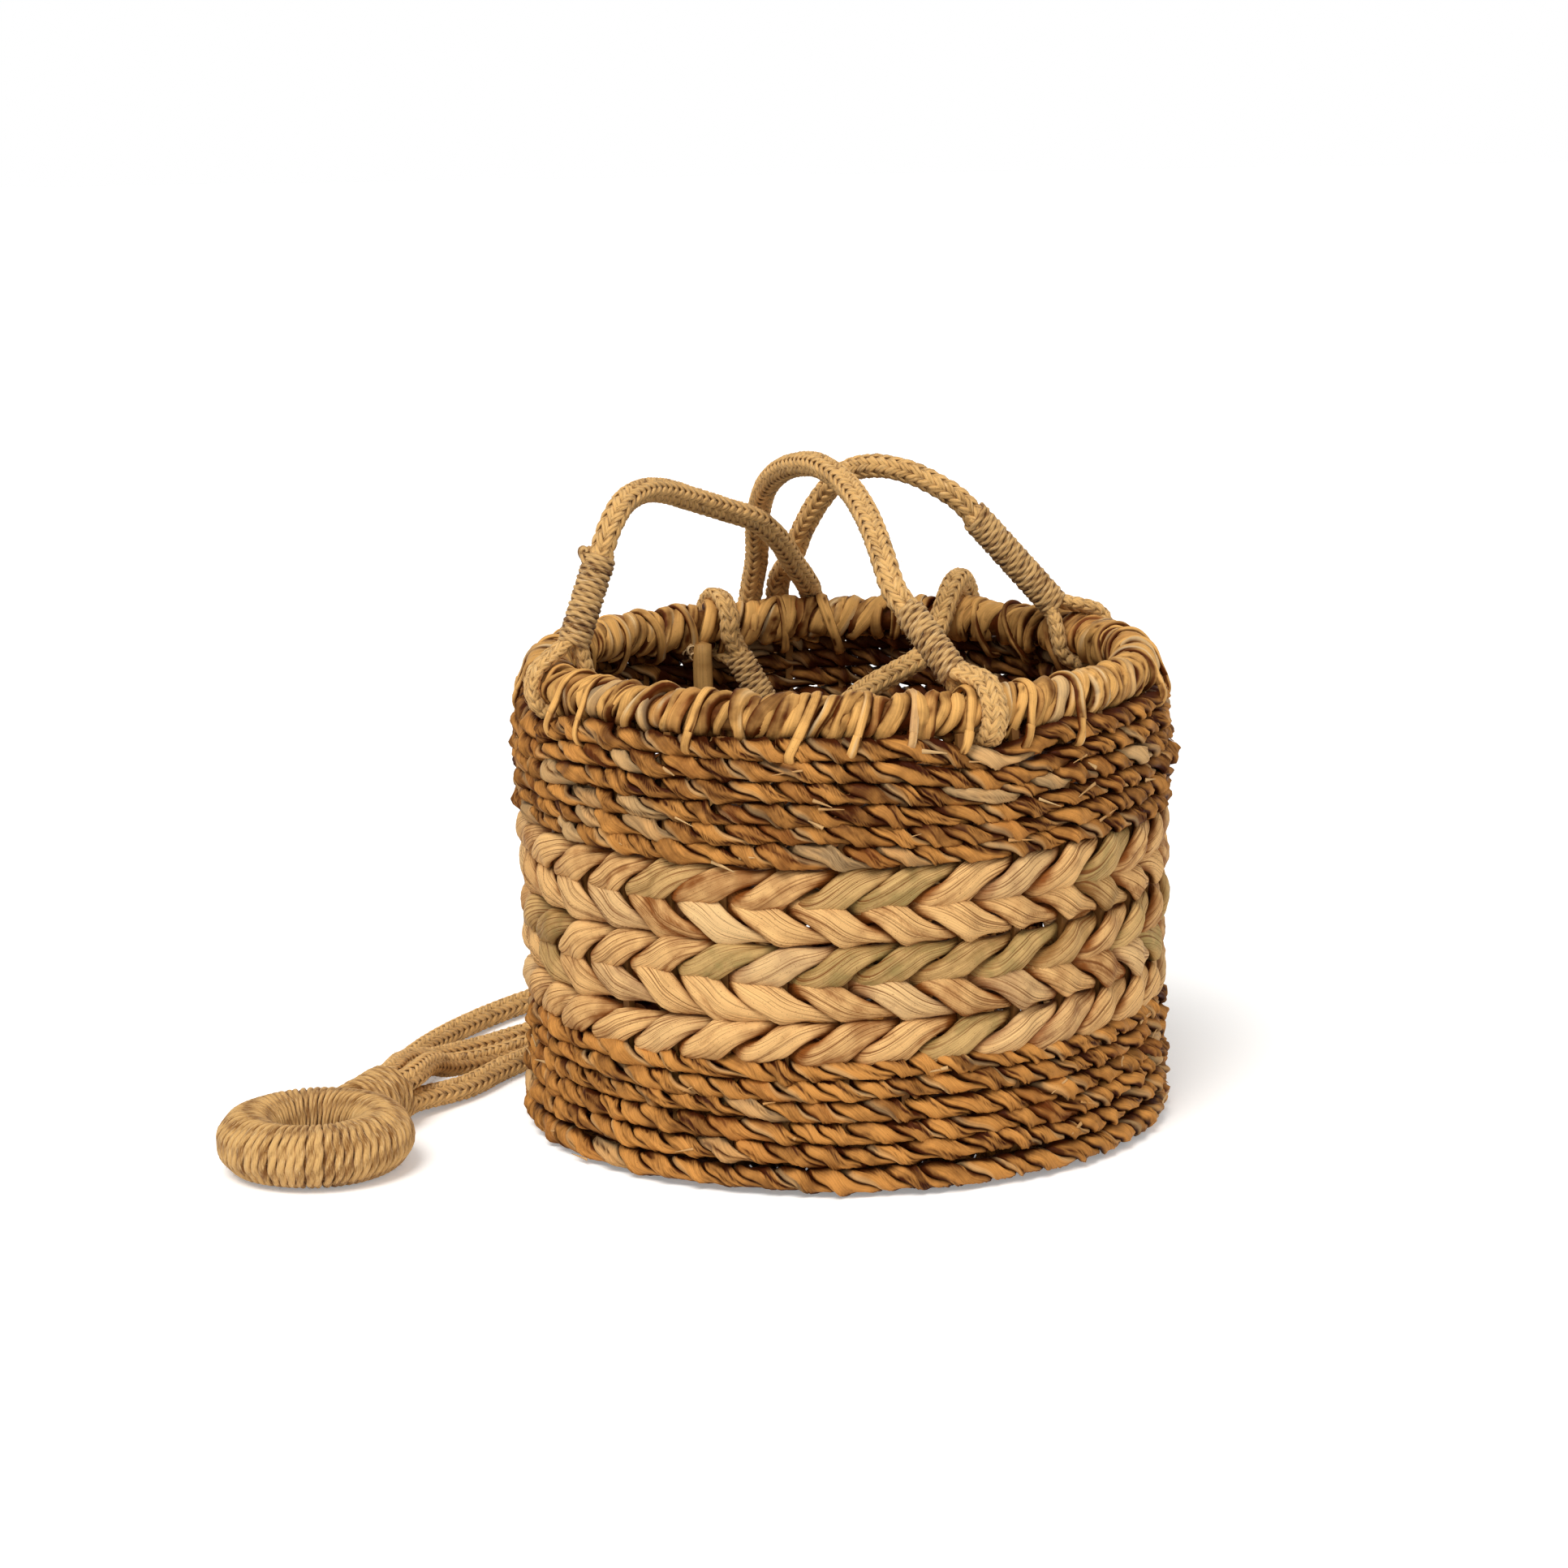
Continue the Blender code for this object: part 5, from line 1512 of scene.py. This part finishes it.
@dataclass
class HangingRing:
    """The wrapped ring, the bound neck, and the four braided ropes that end in it."""

    SEATS: ClassVar[dict] = {"left": (-1, 1), "front": (1, 1), "right": (-1, -1), "back": (1, -1)}
    LEAD_LENGTHS: ClassVar[dict] = {"left": 0.100, "front": 0.100, "right": 0.090, "back": 0.066}
    YARN: ClassVar[Winding] = Winding(
        radius=0.00135, lay=0.0084, whole_lays=True, knot_step=0.011, knot_reach=0.02, tone=0.62,
        ply_painted_light=0.26, edge_painted_shade=0.18, edge_power=6,
    )

    centre_x: float = -0.205
    centre_y: float = -0.078
    radius: float = 0.026
    tube: float = 0.012
    neck_way: tuple[float, float] = (0.369, 0.93)
    neck_length: float = 0.0285
    neck_radius: float = 0.0125
    neck_sink: float = 0.004
    rope_spacing: float = 0.0102
    rope_diameter: float = 0.0095
    straight_share: float = 0.75
    gap: float = 0.0003
    turns: int = 62
    neck_turns: int = 11
    spread: float = 1.02

    def __post_init__(self) -> None:
        """Works out the neck's directions."""
        self.centre = Vector((self.centre_x, self.centre_y, max(self.tube, self.neck_radius) + self.gap))
        self.direction = Vector((*self.neck_way, 0.0)).normalized()
        self.sideways = Vector(UP).cross(-self.direction)
        self.neck_start = self.radius + self.tube - self.neck_sink
        self.mouth = self.centre + self.direction * (self.neck_start + self.neck_length)

    def rope_line(self, end: RopeEnd) -> Array:
        """The rope's route as a dense line, from just inside the whipping to just inside the neck."""
        sideways, upward = self.SEATS[end.name]
        half = self.rope_spacing / 2.0
        seat = self.mouth + self.sideways * (sideways * half) + Vector(UP) * (upward * half)
        straight = self.rope_diameter * self.straight_share
        route = [end.tip + end.direction * self.gap, end.tip + end.direction * straight]
        route += [Vector([value / ROUTE_SCALE for value in point]) for point in ROPE_ROUTES[end.name]]
        route += [seat + self.direction * (self.rope_diameter + self.gap), seat + self.direction * self.gap]
        inside = [end.tip - end.direction * 0.008, seat - self.direction * 0.003]
        return np.concatenate([np.array(inside[:1]), smooth_curve(route), np.array(inside[1:])])

    def rope(self, end: RopeEnd) -> None:
        """Builds one rope: a lead by its eye, and the rest.

        Args:
            end: the rope's eye.
        """
        rng = source(13 * ord(end.name[0]))
        line = spaced(self.rope_line(end), step=0.0005)
        along = travelled(line)
        cut = int(np.searchsorted(along, self.LEAD_LENGTHS[end.name]))
        diameter = self.rope_diameter
        nodes = (f"rope_{end.name}",)
        mesh = StrandMesh(rng)
        across = Braid().add(mesh, line[: cut + 1], end.wide)
        Fuzz().add(mesh, line[: cut + 1], diameter / 2.0, count=90)
        lead = dress(mesh.build(f"rope_lead_{end.name}"), ROPE, None, nodes)
        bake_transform(lead)
        mesh = StrandMesh(rng)
        Braid().add(mesh, line[cut:], across, along[cut])
        Fuzz().add(mesh, line[cut:], diameter / 2.0, count=420)
        main = dress(mesh.build(f"rope_braid_{end.name}"), ROPE, ROOT, nodes)
        LOG.info("rope_%s is %.3f m long", end.name, along[-1])

    def ring(self) -> bpy.types.Object:
        """The ring's wrapping: one yarn wound round a core."""
        mesh = StrandMesh(source(3))
        count = self.turns * 34
        turn = circle(count)
        place = turn + 0.010 * wobble(turn, mesh.rng, 20, 60)
        inner = np.arange(count) / count * self.turns * FULL_TURN
        minor = self.tube - self.YARN.radius
        outward = polar(place, 1.0, 0.0)
        facing = around(inner, outward, UP)
        line = np.array(self.centre) + outward * self.radius + facing * minor
        local = self.radius + minor * np.cos(inner)
        width = FULL_TURN * local / self.turns / 2.0 / self.YARN.radius * self.spread
        self.YARN.add(mesh, line, facing, width, closed=True)
        # The core is near black: painted shade seen between the yarn's turns.
        angle = circle(96)
        middle = np.array(self.centre) + polar(angle, self.radius, 0.0)
        core = outline(12) * (minor - 0.0004)
        mesh.sweep(middle, polar(angle, 1.0, 0.0), core, (0.15, 0.0, 0.0), closed=True)
        Fuzz(length=0.0032).add(mesh, middle, self.tube, count=260)
        return dress(mesh.build("ring_wrapping"), WRAP, ROOT, ("hanging_ring",))

    def neck(self) -> bpy.types.Object:
        """The yarn bound round the rope ends."""
        mesh = StrandMesh(source(4))
        inset = self.YARN.radius
        count = self.neck_turns * 44 + 1
        angle = np.linspace(0.0, self.neck_turns * FULL_TURN, count)
        knots = np.arange(80)
        along = np.linspace(self.neck_start + 0.001, self.neck_start + self.neck_length - inset, count)
        along = along + 0.0003 * np.interp(angle, knots, mesh.rng.standard_normal(80))
        radius = self.neck_radius - inset + 0.0002 * np.interp(angle, knots, mesh.rng.standard_normal(80))
        facing = around(angle, np.array(self.sideways), UP)
        line = np.array(self.centre) + np.array(self.direction) * along[:, None] + facing * radius[:, None]
        self.YARN.add(mesh, line, facing, self.neck_length / self.neck_turns / 2.0 / inset * self.spread)
        # The core is near black: painted shade seen between the binding's turns.
        start = self.centre + self.direction * (self.neck_start + 0.001)
        core = spaced(np.array([start, self.mouth - self.direction * 0.0012]), step=0.004)
        mesh.sweep(core, UP, outline(20) * (self.neck_radius - inset), (0.05, 0.0, 0.0))
        Fuzz(length=0.0032).add(mesh, spaced(core, step=0.001), self.neck_radius, count=90)
        return dress(mesh.build("neck_wrapping"), WRAP, ROOT, ("ring_neck_binding",))

    def build(self, ends: list[RopeEnd]) -> None:
        """Builds the ring, its neck and the ropes from their built eyes."""
        pieces = [self.ring(), self.neck()]
        for end in ends:
            self.rope(end)


@dataclass
class InnerCane:
    """The bare cane inside the back wall, with a frayed head."""

    radius: float = 0.004
    shreds: int = 7
    sides: int = 20

    def build(self) -> None:
        """Builds it between the ends of the box of its node."""
        low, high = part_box("inner_cane")
        foot = np.array([high.x - self.radius, low.y + self.radius, low.z])
        head = np.array([low.x + self.radius, high.y - self.radius, high.z])
        mesh = StrandMesh(source(8))
        line = spaced(np.array([foot, head]), step=0.004)
        share = np.linspace(0.0, 1.0, len(line))
        line[:, 0] += 0.0006 * np.sin(5.0 * share)
        line[:, 1] += 0.0004 * np.sin(8.0 * share)
        ridges = 1.0 + 0.02 * mesh.rng.standard_normal(self.sides)
        leaf = np.zeros((len(line), 3))
        leaf[:, 0] = 0.7 + 0.15 * mesh.rng.standard_normal(len(line))
        shape = outline(self.sides) * ridges[:, None] * self.radius
        mesh.sweep(line, np.array([0.0, -1.0, 0.0]), shape, leaf)
        for _ in range(self.shreds):
            self.shred(mesh, line[-1])
        dress(mesh.build("bare_cane"), CANE, ROOT, ("inner_cane",))

    def shred(self, mesh: StrandMesh, head: Array) -> None:
        """Adds one pale shred that curls over at the cane's head.

        Args:
            mesh: where it goes.
            head: the top end of the cane's middle line.
        """
        rng = mesh.rng
        turn = np.linspace(0.0, rng.uniform(2.5, 4.5), 9)
        curl = rng.uniform(0.0012, 0.0026)
        side = unit(np.array([-1.0, rng.uniform(-0.8, 0.0), rng.uniform(-0.3, 0.2)]))
        up = unit(np.array([rng.uniform(-0.3, 0.3), -0.2, 1.0]))
        start = head + side * self.radius * 0.6 + up * rng.uniform(-0.006, 0.0)
        facing = around(turn, -side, up)
        path = start + side * curl + around(turn, -side * curl, up * curl)
        half = np.array([0.0004, rng.uniform(0.0010, 0.0017)])
        mesh.sweep(path, facing, outline(8) * half, (0.9, 0.0, rng.uniform(0.4, 0.9)))


def seen_directly(wire: Wiring) -> Socket:
    """1 for rays from the camera, and for those that gloss or glass carries on."""
    path = wire.node("ShaderNodeLightPath")
    seen = wire.math("MAXIMUM", path["Is Camera Ray"], path["Is Glossy Ray"])
    return wire.math("MAXIMUM", seen, path["Is Transmission Ray"])


@dataclass
class Stage:
    """Camera, floor and light as in the photograph."""

    camera_place: tuple[float, float, float] = (-0.0232, -1.5673, 0.4537)
    camera_tilt: float = 11.6
    camera_roll: float = -0.93
    lens: float = 92.65
    nearest: float = 0.05
    sun_strength: float = 2.4
    fill_share: float = 0.22
    sun_colour: Colour = (1.0, 0.985, 0.96)
    world_strength: float = 0.42
    floor_size: float = 14.0
    floor_colour: Colour = (0.96, 0.955, 0.945)
    floor_lift: Colour = (0.26, 0.257, 0.253)

    def build(self) -> None:
        """Builds the whole stage."""
        scene = bpy.context.scene
        scene.view_settings.view_transform = "Standard"
        self.camera(scene)
        self.floor()
        self.world(scene)
        self.sun("key_light", turn=(34.0, -16.0, 0.0), strength=self.sun_strength, spread=30.0)
        fill = self.sun_strength * self.fill_share
        self.sun("fill_light", turn=(55.0, 50.0, 0.0), strength=fill, spread=60.0)

    def camera(self, scene: bpy.types.Scene) -> None:
        """A camera at the photograph's angle."""
        data = bpy.data.cameras.new("photo_camera")
        data.lens = self.lens
        data.clip_start = self.nearest
        thing = bpy.data.objects.new("photo_camera", data)
        scene.collection.objects.link(thing)
        aim = Euler((math.radians(90.0 - self.camera_tilt), 0.0, 0.0)).to_matrix().to_4x4()
        aim = aim @ Matrix.Rotation(math.radians(self.camera_roll), 4, "Z")
        thing.matrix_world = Matrix.Translation(self.camera_place) @ aim
        scene.camera = thing

    def floor(self) -> None:
        """A pale floor that keeps the shadow."""
        bpy.ops.object.select_all(action="DESELECT")
        bpy.ops.mesh.primitive_plane_add(size=self.floor_size, location=(0.0, 0.0, 0.0))
        thing = bpy.context.object
        thing.name = "pale_floor"
        material, wire, shader = open_material("pale_floor")
        wire.put(shader["Base Color"], self.floor_colour)
        wire.put(shader["Roughness"], 1.0)
        wire.put(shader["Specular IOR Level"], 0.0)
        lift = wire.mix(seen_directly(wire), (0.0, 0.0, 0.0), self.floor_lift)
        wire.put(shader["Emission Color"], lift)
        wire.put(shader["Emission Strength"], 1.0)
        thing.data.materials.append(material)

    def world(self, scene: bpy.types.Scene) -> None:
        """White where the camera sees it, softer as a light."""
        world = bpy.data.worlds.new("studio")
        world.use_nodes = True
        scene.world = world
        wire = Wiring(world.node_tree)
        background = world.node_tree.nodes["Background"].inputs
        wire.put(background["Color"], (1.0, 1.0, 1.0))
        wire.put(background["Strength"], wire.ramp(seen_directly(wire), 0.0, 1.0, self.world_strength, 1.0))

    def sun(self, name: str, turn: tuple[float, float, float], strength: float, spread: float) -> None:
        """A wide soft lamp far away.

        Args:
            name: the lamp's name.
            turn: its rotation in degrees.
            strength: its strength.
            spread: its angular size in degrees.
        """
        data = bpy.data.lights.new(name, "SUN")
        data.energy = strength
        data.angle = math.radians(spread)
        data.color = self.sun_colour
        thing = bpy.data.objects.new(name, data)
        bpy.context.scene.collection.objects.link(thing)
        thing.rotation_euler = [math.radians(value) for value in turn]


def main() -> None:
    """Builds the stage and every piece."""
    logging.basicConfig(level=logging.INFO, format="%(name)s: %(message)s")
    Stage().build()
    wall = BasketWall()
    wall.upper_band()
    wall.hyacinth_band()
    wall.lower_band()
    wall.foot()
    BaseWeave().build()
    RimBorder().build()
    InnerCane().build()
    ends = [RopeEnd(*values) for values in ROPE_ENDS]
    for end in ends:
        end.build()
    HangingRing().build(ends)
    coat(frame["nodes"]["stake_frame"], CANE)
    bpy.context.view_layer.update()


if __name__ == "__main__":
    main()
